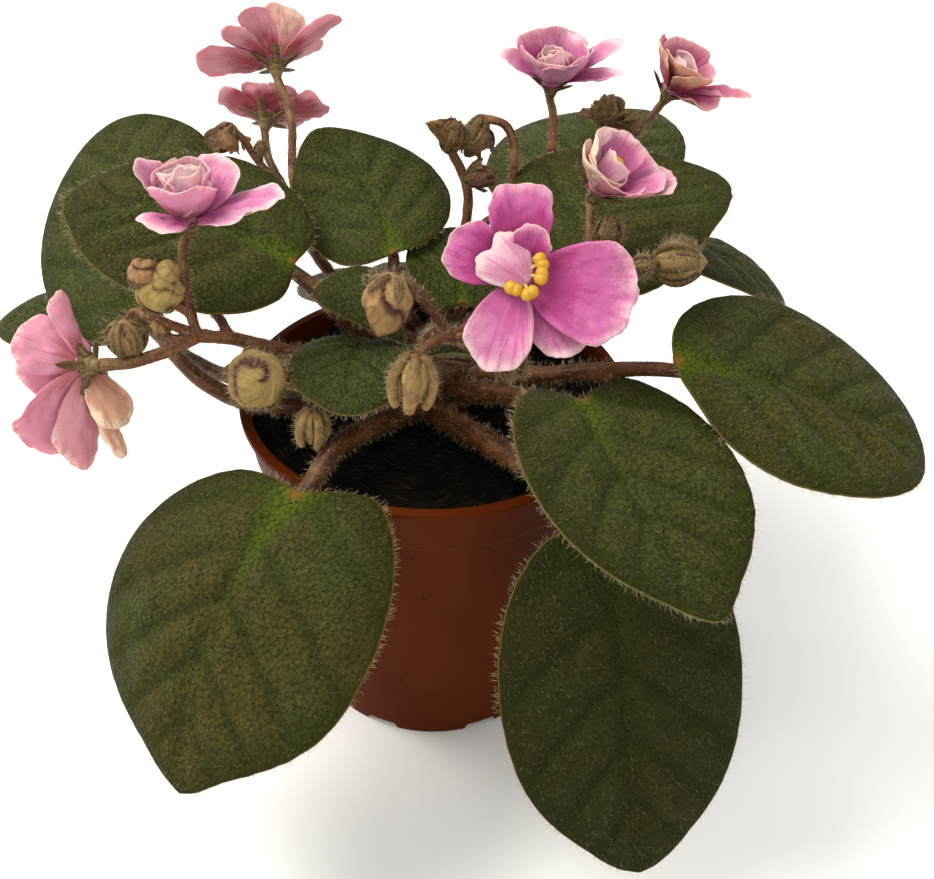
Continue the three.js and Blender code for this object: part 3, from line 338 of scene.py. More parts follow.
# Sprays: where the first stem leaves the crown, the stems and the buds. A stem has its points, the
# radii of its two ends and perhaps a flower; a bud has its kind, how pink and how brown it is, the
# place of its base, the way it points, its length and its radius
SPRAY_COLUMNS = "name from stems buds".split()
STEM_COLUMNS = "through radius end_radius flower".split()
BUD_PLACE_COLUMNS = "kind pink brown at axis length radius".split()
SPRAYS = [
  ["spray_left", [195, 93], [
    [[[-20, -7, 96.5], [-35, -14, 105], [-42, -17, 109], [-48, -20, 111.5]], 1.7, 1.4],
    [[[-48, -20, 111.5], [-49.5, -19, 121], [-50, -13, 129]], 1.1, 1, "flower_left_upper"],
    [[[-48, -20, 111.5], [-54, -22, 109], [-62, -24.5, 107.5]], 1.3, 1.4, "flower_far_left"],
    [[[-48, -20, 111.5], [-57, -19, 115], [-61, -18.5, 116], [-62.5, -21, 113]], 1.1, 0.9],
    [[[-49.2, -19.7, 117], [-53, -20.8, 121]], 1, 1],
    [[[-42, -17, 109], [-45, -12, 110.5], [-46.5, -10.5, 111]], 1.2, 1],
    [[[-48, -20, 111.5], [-53, -20.5, 111], [-56, -18.5, 111]], 1, 0.9],
  ], [
    ["closed", 0.8, 0.15, [-62.5, -21, 115], [0, -0.1, -1], 8.5, 4],
    ["globe", 0.1, 0.0, [-54, -21, 119.5], [0, -0.05, 1], 8, 4.8],
    ["globe", 0.2, 0.0, [-52.2, -20.6, 125], [0.2, -0.1, 1], 5, 2.4],
    ["crumpled", 0.9, 0.0, [-56.3, -20.6, 124.5], [-0.3, -0.1, 1], 5.6, 3.1],
    ["crumpled", 0.4, 0.3, [-55.5, -18.6, 111], [-0.3, -0.1, 1], 5, 2.2],
  ]],
  ["spray_top_left", [142, 91], [
    [[[-16, 12, 98], [-25, 20, 103], [-33, 33, 107]], 1.6, 1.4],
    [[[-33, 33, 107], [-35.6, 41.6, 117], [-36.5, 52, 128]], 1.1, 1, "flower_top_left"],
    [[[-33, 33, 107], [-38, 46, 110.5], [-43.5, 55, 116]], 1.1, 1, "flower_top_left_low"],
    [[[-38, 46, 110.5], [-45, 50, 117], [-49, 50.5, 123.5], [-51.5, 51, 125.5]], 1, 0.9],
    [[[-45, 50, 117], [-44.5, 50, 120]], 0.9, 0.8],
  ], [
    ["withered", 0.8, 0.3, [-51, 50.8, 126], [-0.6, -0.1, -0.75], 7.5, 4],
    ["closed", 0.5, 0.7, [-44.5, 50, 119.5], [0.2, 0, 1], 3.5, 1.6],
  ]],
  ["spray_centre", [-94, 97], [
    [[[-0.8, -9.6, 104], [2, -14.5, 110], [4.6, -21, 113]], 1.4, 1.3],
    [[[4.6, -21, 113], [1, -19, 117], [-3.5, -18.5, 123.5], [-7, -20, 125.5]], 1, 0.9],
    [[[4.6, -21, 113], [0.8, -26, 115], [-2.5, -31, 114.5]], 1, 0.9],
    [[[4.6, -21, 113], [12, -17, 117], [17.5, -16, 121]], 1.1, 1, "flower_front"],
    [[[4.6, -21, 113], [12, -23, 114.4], [16.7, -26.2, 114]], 0.9, 0.9],
  ], [
    ["crumpled", 0.7, 0.0, [-7, -20.5, 126.5], [-0.25, -0.25, -1], 13, 4.8],
    ["claw", 0.3, 0.0, [-2.5, -31.5, 115], [-0.1, -0.25, -1], 11, 4.8],
    ["closed", 0.8, 0.7, [16.8, -27, 113.8], [0, -0.35, -1], 7, 3],
  ]],
  ["spray_right", [-10, 96.5], [
    [[[17, -6, 105], [27, -8, 112], [32, -7, 118]], 1.5, 1.3],
    [[[32, -7, 118], [33.2, -1, 124.5], [33.4, 4, 129.6]], 1.1, 1, "flower_right"],
    [[[32, -7, 118], [36, -4, 121], [37.4, -0.5, 124]], 0.9, 0.8],
    [[[32, -7, 118], [39, -10, 122.5], [47, -9.5, 124.5]], 1.1, 1],
    [[[38, -9.8, 121.8], [41.8, -12, 124.5]], 0.9, 0.9],
  ], [
    ["closed", 0.7, 0.7, [37.4, 0, 122.8], [0, 0.3, 1], 7, 3],
    ["closed", 0.1, 0.2, [46.5, -9.6, 124.6], [1, -0.2, 0.15], 10.5, 4.6],
    ["closed", 0.5, 0.7, [41.4, -11.8, 124.4], [0.8, -0.3, 0.5], 6, 2.1],
  ]],
  ["spray_rear", [40, 97], [
    [[[15, 15, 103], [25, 32, 108], [27.5, 40, 117], [27.5, 44, 124]], 1.4, 1.1],
    [[[27.5, 44, 124], [27.5, 50, 131]], 1, 1, "flower_top"],
    [[[27.5, 40, 117], [40, 50, 121], [51, 57, 126]], 1, 1, "flower_top_right"],
    [[[40, 50, 121], [42, 56, 125]], 0.9, 0.9],
    [[[42, 56, 125], [47, 56, 125]], 0.8, 0.8],
  ], [
    ["withered", 0.3, 0.5, [42, 57, 125], [0, 0.2, 1], 8, 4.8],
    ["closed", 0.5, 0.6, [47, 56, 124], [0.5, 0, 0.8], 5, 2.4],
  ]],
  ["spray_top_centre", [92, 96], [
    [[[3.5, 18, 98], [6.5, 31, 108], [7, 34, 119], [3, 36, 128]], 1.4, 1.1],
    [[[6.5, 31, 108], [14, 31, 114], [18, 33.4, 124], [16, 38, 133], [10, 39, 134.5]], 1, 1],
  ], [
    ["withered", 0.5, 0.75, [2.5, 36, 127.5], [0.2, 0, 0.9], 8, 3.6],
    ["withered", 0.4, 0.75, [10.5, 39, 134.5], [-0.4, -0.2, -0.9], 10, 3.6],
    ["withered", 0.5, 0.85, [6.5, 34, 121], [0.8, 0, 0.3], 7, 3],
  ]],
  ["spray_low_left", [234, 92.6], [
    [[[-14, -15.5, 96.5], [-20, -18.5, 98], [-29, -21, 101]], 1.3, 1.1],
    [[[-29, -21, 101], [-34.5, -21.5, 103], [-36.1, -24.4, 103.7]], 1.1, 1.1],
    [[[-20, -18.5, 98], [-23.3, -24, 99.5], [-23.9, -28, 98]], 1, 0.9],
  ], [
    ["swirl", 0.15, 0.0, [-36, -23.5, 103], [0.1, -0.8, 0.6], 8.5, 6],
    ["closed", 0.5, 0.7, [-29, -19, 102.7], [-0.3, 0.3, -0.4], 7, 3.6],
    ["claw", 0.2, 0.15, [-24, -28.3, 99], [-0.1, -0.25, -1], 8, 3.6],
  ]],
]


def named(columns, rows):
    """Rows of a table as dictionaries, without the cells that a row leaves out at its end."""
    return [dict(zip(columns, row)) for row in rows]


def unit(vectors):
    vectors = np.asarray(vectors, float)
    return vectors / np.linalg.norm(vectors, axis=-1, keepdims=True)


def smooth_step(value, low, high):
    share = np.clip((value - low) / (high - low), 0, 1)
    return share * share * (3 - 2 * share)


def ripples(points, size, seed):
    """Smooth noise, mostly from -1 to 1: a sum of waves whose directions come from a seed."""
    draw = np.random.default_rng(seed)
    ways = unit(draw.normal(size=(WAVES, points.shape[-1])))
    rates = TURN / size * draw.uniform(0.6, 1.5, WAVES)
    phases = draw.uniform(0, TURN, WAVES)
    waves = np.sin(points @ (ways * rates[:, None]).T + phases)
    return waves.sum(-1) / math.sqrt(WAVES)


def run_along(path):
    """How far along a path each of its points is."""
    return np.concatenate([[0], np.cumsum(np.linalg.norm(np.diff(path, axis=0), axis=1))])


def curve_through(points, steps):
    """Evenly spaced points of a smooth curve through the given ones, and its length."""
    given = np.asarray(points, float)
    ends = np.vstack([2 * given[0] - given[1], given, 2 * given[-1] - given[-2]])
    share = np.linspace(0, 1, 21)[1:, None]
    dense = [given[:1]]
    for a, b, c, d in zip(ends, ends[1:], ends[2:], ends[3:]):
        before, within, after = (np.linalg.norm(q - p) ** 0.5 for p, q in ((a, b), (b, c), (c, d)))
        leave = ((b - a) / before - (c - a) / (before + within) + (c - b) / within) * within
        reach = ((c - b) / within - (d - b) / (within + after) + (d - c) / after) * within
        square = share**2 * (3 * c - 3 * b - 2 * leave - reach)
        dense.append(b + share * leave + square + share**3 * (2 * b - 2 * c + leave + reach))
    dense = np.vstack(dense)
    run = run_along(dense)
    at = np.linspace(0, run[-1], steps + 1)
    return np.stack([np.interp(at, run, dense[:, k]) for k in range(3)], axis=1), run[-1]


def frames_along(path):
    """The way ahead, a side and an upper side at each point of a path, without twist."""
    ahead = unit(np.gradient(path, axis=0))
    side = np.cross(ahead[0], UP)
    if np.linalg.norm(side) < 0.05:
        side = np.cross(ahead[0], [0.0, 1.0, 0.0])
    sides = []
    for way in ahead:
        side = unit(side - way * (side @ way))
        sides.append(side)
    sides = np.array(sides)
    return ahead, sides, np.cross(sides, ahead)


def placer(origin, axes):
    """Takes points from a frame with these axes as rows to the part's own frame."""
    return lambda points: origin + np.asarray(points) @ axes


class Form:
    """One piece in the making: points in millimetres, faces, materials and numbers at points."""

    def __init__(self, *materials):
        self.materials = materials
        self.points = []
        self.numbers = []
        self.corners = []
        self.sizes = []
        self.slots = []
        self.count = 0

    def add(self, material, points, faces, **numbers):
        """Faces come as arrays with a row for each face, whose corners all have the same count."""
        points = np.asarray(points, float).reshape(-1, 3)
        for rows in faces:
            self.corners.append((rows + self.count).ravel())
            self.sizes.append(np.full(len(rows), rows.shape[1]))
            self.slots.append(np.full(len(rows), self.materials.index(material)))
        self.points.append(points)
        self.numbers.append((len(points), numbers))
        self.count += len(points)

    def also(self, **numbers):
        """More numbers for the points that were added last."""
        self.numbers[-1][1].update(numbers)

    def column(self, name, width):
        """One number, or a row of them, for every point, and zero where none was given."""
        parts = []
        for count, numbers in self.numbers:
            given = np.asarray(numbers.get(name, 0.0), float)
            parts.append(np.broadcast_to(given, (count, width) if width > 1 else (count,)))
        return np.concatenate(parts).ravel()

    def make(self, name, slot, *nodes):
        mesh = bpy.data.meshes.new(name)
        corners = np.concatenate(self.corners)
        sizes = np.concatenate(self.sizes)
        mesh.vertices.add(self.count)
        mesh.vertices.foreach_set("co", (np.concatenate(self.points) * MM).ravel())
        mesh.loops.add(len(corners))
        mesh.loops.foreach_set("vertex_index", corners)
        mesh.polygons.add(len(sizes))
        mesh.polygons.foreach_set("loop_start", np.concatenate([[0], np.cumsum(sizes)[:-1]]))
        mesh.polygons.foreach_set("material_index", np.concatenate(self.slots))
        mesh.update(calc_edges=True)
        mesh.shade_smooth()
        for key in sorted({key for _, numbers in self.numbers for key in numbers}):
            kind, field, width = "FLOAT", "value", 1
            if key == "flat":
                kind, field, width = "FLOAT_VECTOR", "vector", 3
            data = mesh.attributes.new(key, kind, "POINT").data
            data.foreach_set(field, self.column(key, width))
        for material in self.materials:
            mesh.materials.append(material)
        piece = bpy.data.objects.new(name, mesh)
        bpy.context.scene.collection.objects.link(piece)
        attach(piece, BODY)
        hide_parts(*nodes)


def ring_angles(sides):
    return TURN * np.arange(sides) / sides


def ring_faces(rings, sides):
    """Four-cornered faces between rings of points, each of which follows the one before."""
    i = np.arange(sides)
    j = (i + 1) % sides
    ring = np.arange(rings - 1)[:, None] * sides
    return np.stack([ring + i, ring + sides + i, ring + sides + j, ring + j], -1).reshape(-1, 4)


def fan_faces(middle, first, sides):
    """Three-cornered faces between a middle point and a ring of points."""
    i = np.arange(sides)
    return np.stack([np.full(sides, middle), first + i, first + (i + 1) % sides], 1)


def tube_faces(rings, sides):
    """Faces of a closed tube: rings of points, then the middles of its two ends."""
    count = rings * sides
    end = fan_faces(count + 1, count - sides, sides)[:, [0, 2, 1]]
    return ring_faces(rings, sides), np.vstack([fan_faces(count, 0, sides), end])


def plate_grid(rings, sectors, crowd):
    """The angle and the share of the way to the rim at each point of one side of a plate."""
    shares = (np.arange(1, rings + 1) / rings) ** crowd
    share, angle = np.meshgrid(shares, ring_angles(sectors), indexing="ij")
    return np.append(0, angle.ravel()), np.append(0, share.ravel())


def add_plate(form, material, top, thickness, grid, place, **numbers):
    """A plate from its upper side and its thickness at each point, placed as a last step."""
    rings, sectors = grid
    under = len(top)
    fan = fan_faces(0, 1, sectors)
    quads = ring_faces(rings, sectors) + 1
    i = 1 + (rings - 1) * sectors + np.arange(sectors)
    j = np.roll(i, -1)
    wall = np.stack([i, under + i, under + j, j], 1)
    faces = [np.vstack([fan, fan[:, ::-1] + under]), np.vstack([quads, quads[:, ::-1] + under, wall])]
    bottom = top - thickness[:, None] * UP
    doubled = {key: np.concatenate([value, value]) for key, value in numbers.items()}
    side = np.repeat([0.0, 1.0], under)
    form.add(material, place(np.vstack([top, bottom])), faces, side=side, **doubled)


def add_tube(form, material, path, radii, sides, relief=None, seed=0.0, frames=None, **numbers):
    """A tube along a path. Relief gives each point's share of the radius from where it lies."""
    _, side, upper = frames or frames_along(path)
    count = len(path)
    angles = ring_angles(sides)
    around = np.cos(angles)[:, None] * side[:, None] + np.sin(angles)[:, None] * upper[:, None]
    run = run_along(path)
    reach = radii[:, None] * np.ones(sides)
    if relief is not None:
        reach = reach * relief(run[:, None], angles[None, :])
    points = path[:, None] + around * reach[..., None]
    points = np.vstack([points.reshape(-1, 3), path[0], path[-1]])
    flat = np.zeros((count, sides, 3))
    flat[..., 0] = run[:, None]
    flat[..., 1] = np.abs(angles - math.pi)[None, :] * reach
    flat[..., 2] = seed
    flat = np.vstack([flat.reshape(-1, 3), [0, 0, seed], [run[-1], 0, seed]])
    spread = {}
    for key, value in numbers.items():
        value = np.broadcast_to(value, (count,))
        spread[key] = np.concatenate([np.repeat(value, sides), value[[0, -1]]])
    form.add(material, points, tube_faces(count, sides), flat=flat, **spread)


def add_lathe(form, material, profile, sides, move=None, place=np.asarray, **numbers):
    """A closed turned body, from pairs of radius and height that start and end on the axis."""
    inner = np.asarray(profile, float)[1:-1]
    angles = ring_angles(sides)
    radius, height = inner[:, 0][:, None], inner[:, 1][:, None]
    points = np.stack([radius * np.cos(angles), radius * np.sin(angles), height + 0 * angles], -1)
    run = run_along(inner)
    flat = np.zeros(points.shape)
    flat[..., 0] = radius * angles
    flat[..., 1] = run[:, None]
    flat = np.vstack([flat.reshape(-1, 3), [0, 0, 0], [0, run[-1], 0]])
    if move is not None:
        points = move(points, angles)
    points = np.vstack([points.reshape(-1, 3), [0, 0, profile[0][1]], [0, 0, profile[-1][1]]])
    spread = {}
    for key, value in numbers.items():
        spread[key] = np.append(np.repeat(value[1:-1], sides), value[[0, -1]])
    quads, fans = tube_faces(len(inner), sides)
    faces = [quads[:, [0, 3, 2, 1]], fans[:, [0, 2, 1]]]
    form.add(material, place(points), faces, flat=flat, **spread)


def add_hairs(form, roots, ways, lengths, width, draw, bend=0.25, joints=1):
    """Thin three-sided hairs that taper to a point, each bent a little its own way."""
    count = len(roots)
    ways = unit(ways)
    sideways = unit(np.cross(ways, unit(draw.normal(size=(count, 3)))))
    across = np.cross(ways, sideways)
    lengths = np.broadcast_to(lengths, (count,))[:, None]
    curve = bend * lengths * sideways
    rings = []
    for share in np.arange(joints) / joints:
        middle = roots + ways * lengths * share + curve * share**2
        reach = 0.5 * width * (1 - HAIR_TAPER * share)
        for angle in ring_angles(3):
            rings.append(middle + reach * (math.cos(angle) * sideways + math.sin(angle) * across))
    tip = len(rings)
    points = np.stack([*rings, roots + ways * lengths + curve], 1)
    first = np.arange(count)[:, None, None] * (tip + 1)
    ends = np.vstack([[0, 2, 1], fan_faces(tip, tip - 3, 3)[:, [1, 2, 0]]])
    walls = ring_faces(joints, 3)[:, [0, 3, 2, 1]]
    faces = [(first + ends).reshape(-1, 3), (first + walls).reshape(-1, 4)]
    length = np.append(np.repeat(np.arange(joints) / joints, 3), 1)
    form.add(HAIR, points, faces, length=np.tile(length, count))


def skin_spots(run, angles, reach):
    """Points on the skin of a straight tube, from how far along and where around it they are."""
    return np.stack(np.broadcast_arrays(run, reach * np.cos(angles), reach * np.sin(angles)), -1)


def point_at(path, share):
    """Points of a path at shares of its number of steps."""
    at = share * (len(path) - 1)
    return np.stack([np.interp(at, np.arange(len(path)), path[:, k]) for k in range(3)], 1)


def hairs_on_tube(form, path, radii, count, length, width, draw, forward):
    """Hairs all round a tube, which lean a little towards its end."""
    ahead, side, upper = frames_along(path)
    share = draw.uniform(0, 1, count)
    angle = draw.uniform(0, TURN, count)[:, None]
    out = np.cos(angle) * point_at(side, share) + np.sin(angle) * point_at(upper, share)
    radius = np.interp(share * (len(path) - 1), np.arange(len(path)), radii)
    roots = point_at(path, share) + out * radius[:, None] * 0.94
    ways = out + forward * point_at(ahead, share) + 0.35 * draw.normal(size=(count, 3))
    add_hairs(form, roots, ways, length * draw.uniform(0.6, 1.15, count), width, draw, HAIR_CURVE)


class Look:
    """A material in the making, with short calls for the nodes that are used here."""

    def __init__(self, name):
        self.material = bpy.data.materials.new(name)
        self.material.use_nodes = True
        self.tree = self.material.node_tree
        self.shader = self.tree.nodes["Principled BSDF"]
        self.flat = self.attribute("flat", "Vector")

    def put(self, socket, value):
        if isinstance(value, bpy.types.NodeSocket):
            self.tree.links.new(value, socket)
        elif socket.type == "RGBA":
            socket.default_value = (*value, 1.0)
        else:
            socket.default_value = value

    def node(self, kind, inputs, **settings):
        made = self.tree.nodes.new("ShaderNode" + kind)
        for key, value in settings.items():
            setattr(made, key, value)
        for key, value in inputs.items():
            self.put(made.inputs[key], value)
        return made

    def attribute(self, name, output="Fac"):
        return self.node("Attribute", {}, attribute_name=name).outputs[output]

    def number(self, operation, a, b=0.0):
        return self.node("Math", {0: a, 1: b}, operation=operation).outputs[0]

    def product(self, a, b):
        return self.number("MULTIPLY", a, b)

    def total(self, first, *others):
        for other in others:
            first = self.number("ADD", first, other)
        return first

    def span(self, value, low, high, to_low=0.0, to_high=1.0):
        """The value from low to high as a smooth step between two results."""
        inputs = {"Value": value, "From Min": low, "From Max": high, "To Min": to_low, "To Max": to_high}
        return self.node("MapRange", inputs, interpolation_type="SMOOTHSTEP").outputs[0]

    def blend(self, share, a, b):
        return self.node("Mix", {0: share, 6: a, 7: b}, data_type="RGBA").outputs[2]

    def layers(self, colour, *others):
        """A colour with others laid over it in turn, each by its own share."""
        for share, other in others:
            colour = self.blend(share, colour, other)
        return colour

    def spot(self, size, stretch=(1, 1, 1)):
        """The place on the surface, divided by a size in millimetres and stretched."""
        scale = tuple(share / size for share in stretch)
        return self.node("VectorMath", {0: self.flat, 1: scale}, operation="MULTIPLY").outputs[0]

    def noise(self, size, detail, stretch=(1, 1, 1)):
        inputs = {"Vector": self.spot(size, stretch), "Scale": 1.0, "Detail": detail}
        return self.node("TexNoise", inputs).outputs[0]

    def cells(self, size):
        inputs = {"Vector": self.spot(size), "Scale": 1.0}
        return self.node("TexVoronoi", inputs, voronoi_dimensions="2D").outputs["Distance"]

    def finish(self, colour, roughness, height, depth, **sockets):
        """Sets the colour, the roughness and a bump of some depth in millimetres."""
        bump = self.node("Bump", {"Strength": 1.0, "Distance": depth * MM, "Height": height})
        sockets = {"Base_Color": colour, "Roughness": roughness, "Normal": bump.outputs[0], **sockets}
        for key, value in sockets.items():
            self.put(self.shader.inputs[key.replace("_", " ")], value)
        return self.material


def leaf_look():
    look = Look("leaf")
    grain = look.noise(0.9, 3)
    patch = look.noise(13, 2)
    cloud = look.noise(4, 2)
    fine = look.cells(0.9)
    edge = look.attribute("edge")
    pits = look.product(look.span(look.cells(1.35), 0.2, 0.05), look.span(edge, 0.5, 2.0))
    pits = look.product(pits, look.span(look.noise(2.5, 2), 0.35, 0.65, 0.4, 1.0))
    vein = look.number("FRACT", look.attribute("vein"))
    furrow = look.span(look.number("ABSOLUTE", look.number("SUBTRACT", vein, 0.5)), 0.3, 0.5)
    mottle = look.total(look.span(grain, 0.3, 0.7, -0.2, 0.2), look.span(cloud, 0.3, 0.7, -0.14, 0.14))
    # Darker towards the rim: partly the leaf's own olive margin, partly painted shade on the edges
    margin_tint_and_shade = look.product(look.span(edge, 9.0, 0.5), look.span(patch, 0.3, 0.6, 0.4, 0.7))
    glow = look.product(look.attribute("glow"), look.span(grain, 0.25, 0.7, 1.0, 0.7))
    green = look.layers(
        (0.060, 0.051, 0.0120),
        (look.span(patch, 0.3, 0.7), (0.050, 0.055, 0.0130)),
        (look.attribute("fresh"), (0.052, 0.072, 0.0170)),
        (look.number("SUBTRACT", 0.25, mottle), (0.010, 0.012, 0.002)),
        # painted shade in the sunken side veins of the upper side
        (look.product(furrow, 0.5), (0.016, 0.021, 0.003)),
        (margin_tint_and_shade, (0.020, 0.021, 0.0015)),
        (glow, (0.056, 0.098, 0.0015)),
        # painted shade: whole leaves darkened where other leaves shadow them
        (look.attribute("shade"), (0.008, 0.009, 0.001)),
        (look.span(fine, 0.32, 0.6, 0.0, 0.5), (0.012, 0.015, 0.002)),
        # painted shade in the small pits, which the bump also sinks
        (look.product(pits, 0.75), (0.006, 0.008, 0.001)),
        (look.attribute("joint"), (0.170, 0.070, 0.014)),
        (look.span(edge, 0.25, 0.05), (0.085, 0.060, 0.012)),
    )
    under = look.blend(look.span(grain, 0.3, 0.7), (0.100, 0.105, 0.042), (0.140, 0.140, 0.065))
    under = look.blend(furrow, under, (0.150, 0.155, 0.085))
    side = look.span(look.attribute("side"), 0.4, 0.6)
    height = look.number("SUBTRACT", look.product(fine, 0.5), look.product(pits, 0.5))
    return look.finish(
        look.blend(side, green, under), look.span(grain, 0.2, 0.8, 0.5, 0.68),
        look.total(height, look.product(grain, 0.5)), 0.42,
        Sheen_Weight=0.01, Sheen_Roughness=0.4, Sheen_Tint=(0.8, 0.85, 0.5), Specular_IOR_Level=0.05,
    )


def hair_look():
    look = Look("hair")
    colour = look.blend(look.attribute("length"), (0.260, 0.175, 0.080), (0.720, 0.600, 0.380))
    height = look.noise(0.2, 1)
    roughness = look.span(height, 0.3, 0.7, 0.4, 0.55)
    return look.finish(colour, roughness, height, 0.01, Specular_IOR_Level=0.3)


def stalk_look(name, lit, dark, streak):
    """Skin of a stalk: streaks along it, freckles, and a green share where it says so."""
    look = Look(name)
    streaks = look.noise(1.1, 3, (0.12, 1, 1))
    grain = look.noise(0.5, 2)
    green = look.blend(look.span(streaks, 0.35, 0.7), (0.085, 0.055, 0.018), (0.240, 0.170, 0.064))
    colour = look.layers(
        dark,
        (look.span(streaks, 0.3, 0.7), lit),
        (look.span(look.noise(3.5, 2), 0.5, 0.75), streak),
        (look.attribute("green"), green),
        (look.product(look.span(look.cells(1.3), 0.22, 0.08), 0.55), (0.030, 0.010, 0.005)),
    )
    height = look.total(streaks, look.product(grain, 0.4))
    roughness = look.span(grain, 0.2, 0.8, 0.42, 0.62)
    return look.finish(colour, roughness, height, 0.18, Specular_IOR_Level=0.2)


def pot_look():
    look = Look("pot_plastic")
    flow = look.noise(24, 2, (1, 0.15, 1))
    grain = look.noise(0.8, 2)
    colour = look.layers(
        (0.065, 0.0108, 0.0008),
        (look.span(flow, 0.25, 0.75), (0.083, 0.0148, 0.0012)),
        (look.span(look.cells(22), 0.028, 0.018), (0.025, 0.007, 0.003)),
        (look.span(look.noise(6, 4), 0.62, 0.8, 0.0, 0.03), (0.300, 0.180, 0.110)),
    )
    height = look.total(look.product(flow, 1.5), look.product(grain, 0.25))
    roughness = look.span(grain, 0.2, 0.8, 0.42, 0.55)
    return look.finish(colour, roughness, height, 0.12, Specular_IOR_Level=0.03)


def soil_look():
    look = Look("peat")
    grain = look.noise(1.6, 4)
    colour = look.layers(
        (0.0015, 0.0011, 0.0006),
        (look.span(grain, 0.35, 0.7), (0.012, 0.0075, 0.0035)),
        (look.span(look.cells(2.6), 0.16, 0.07, 0.0, 0.7), (0.060, 0.036, 0.018)),
    )
    roughness = look.span(grain, 0.3, 0.7, 0.8, 0.98)
    return look.finish(colour, roughness, grain, 0.6, Specular_IOR_Level=0.1)


def floor_look():
    look = Look("floor")
    grain = look.noise(40, 2)
    return look.finish(look.blend(grain, (0.93, 0.93, 0.93), (0.95, 0.95, 0.95)), 0.8, grain, 0.01)


def petal_look():
    """Pinks from pale to deep by how deep a petal is there, and other ones on its back."""
    look = Look("petal")
    along = look.attribute("along")
    edge = look.attribute("edge")
    peach = look.attribute("peach")
    veins = look.noise(1.0, 2, (1, 0.11, 1))
    patch = look.noise(6, 2)
    grain = look.noise(0.4, 3)
    depth = look.total(
        look.product(look.attribute("deep"), look.span(along, 0.1, 1.0, 1.25, 0.5)),
        look.span(patch, 0.25, 0.75, -0.1, 0.1),
        look.span(grain, 0.3, 0.7, -0.05, 0.05),
        look.span(veins, 0.45, 0.75, 0.0, 0.16),
        look.span(edge, 2.6, 0.3, 0.0, -0.22),
    )
    front = look.layers(
        (0.66, 0.45, 0.47),
        (look.span(depth, 0.0, 0.3), (0.50, 0.22, 0.32)),
        (look.span(depth, 0.25, 0.55), (0.40, 0.088, 0.240)),
        (look.span(depth, 0.55, 0.85), (0.30, 0.032, 0.150)),
        (look.span(depth, 0.85, 1.15), (0.23, 0.017, 0.100)),
    )
    back = look.layers(
        (0.56, 0.215, 0.37),
        (peach, (0.56, 0.30, 0.20)),
        (look.span(depth, 0.45, 0.95), (0.30, 0.050, 0.070)),
        (look.span(depth, 0.16, -0.04), look.blend(peach, (0.66, 0.42, 0.45), (0.72, 0.57, 0.41))),
        (look.span(veins, 0.5, 0.8, 0.0, 0.3), (0.40, 0.09, 0.15)),
        (look.span(along, 0.4, 0.0, 0.0, 0.6), (0.33, 0.10, 0.075)),
    )
    rim = look.product(look.span(edge, 0.35, 0.05), look.span(patch, 0.35, 0.6, 0.2, 0.8))
    colour = look.layers(
        front,
        (look.product(peach, 0.3), back),
        (look.span(look.attribute("side"), 0.4, 0.6), back),
        (rim, (0.62, 0.46, 0.34)),
    )
    height = look.total(look.product(veins, 0.7), look.product(grain, 0.5))
    return look.finish(
        colour, look.span(grain, 0.2, 0.8, 0.5, 0.62), height, 0.12,
        Subsurface_Weight=0.3, Subsurface_Radius=(1.0, 0.35, 0.45), Subsurface_Scale=1.0 * MM,
        Specular_IOR_Level=0.2,
    )


def anther_look():
    look = Look("anther")
    grain = look.noise(0.45, 3)
    colour = look.blend(look.span(grain, 0.3, 0.7), (0.46, 0.21, 0.002), (0.58, 0.33, 0.006))
    colour = look.blend(look.attribute("tint"), colour, (0.52, 0.34, 0.12))
    return look.finish(
        colour, look.span(grain, 0.3, 0.7, 0.4, 0.55), grain, 0.12,
        Subsurface_Weight=0.2, Subsurface_Radius=(1.0, 0.6, 0.2), Subsurface_Scale=0.8 * MM,
    )


def bud_look():
    look = Look("bud_petals")
    grain = look.noise(0.6, 3)
    veins = look.noise(1.6, 3, (1, 0.6, 1))
    mottle = look.span(veins, 0.3, 0.7)
    colour = look.layers(
        look.blend(mottle, (0.195, 0.138, 0.036), (0.32, 0.225, 0.074)),
        (look.attribute("pink"), look.blend(mottle, (0.21, 0.096, 0.042), (0.30, 0.172, 0.080))),
        (look.attribute("brown"), look.blend(mottle, (0.045, 0.022, 0.009), (0.130, 0.075, 0.032))),
        # purple-brown where the fold is low: in a bud's grooves partly the petals' own colour, partly
        # painted shade
        (look.span(look.attribute("fold"), 0.78, 0.34), (0.065, 0.024, 0.018)),
    )
    height = look.total(veins, look.product(grain, 0.4))
    return look.finish(
        colour, look.span(grain, 0.2, 0.8, 0.45, 0.65), height, 0.2,
        Subsurface_Weight=0.2, Subsurface_Radius=(1.0, 0.5, 0.3), Subsurface_Scale=0.8 * MM,
        Specular_IOR_Level=0.15,
    )


def lathe_path(profile, softening=CORNER):
    """A profile whose corners are softened into short arcs."""
    points = [np.asarray(point, float) for point in profile]
    softened = [points[0]]
    for before, corner, after in zip(points, points[1:], points[2:]):
        arms = [side - corner for side in (before, after)]
        reach = min([softening] + [0.45 * np.linalg.norm(arm) for arm in arms])
        start, end = (corner + unit(arm) * reach for arm in arms)
        for share in np.linspace(0, 1, 4):
            middle = 2 * share * (1 - share) * corner
            softened.append((1 - share) ** 2 * start + middle + share**2 * end)
    return np.array(softened + [points[-1]])


def wall_radius(height):
    return BASE_RADIUS + POT_SLOPE * height


def notched(points, angles):
    """Lifts the lower edge of the pot's foot over each notch."""
    middle = (np.arange(NOTCHES) + 0.5) * TURN / NOTCHES
    away = np.abs(np.angle(np.exp(1j * (angles[:, None] - middle)))).min(1) * BASE_RADIUS
    lift = NOTCH_HEIGHT * smooth_step(away, NOTCH_WIDTH / 2 + 0.25, NOTCH_WIDTH / 2 - 0.25)
    foot = np.hypot(points[..., 0], points[..., 1]) > BASE_RADIUS - FOOT_WIDTH - 1
    low = foot & (points[..., 2] < FOOT_HEIGHT)
    points[..., 2] = np.where(low, np.maximum(points[..., 2], lift), points[..., 2])
    return points


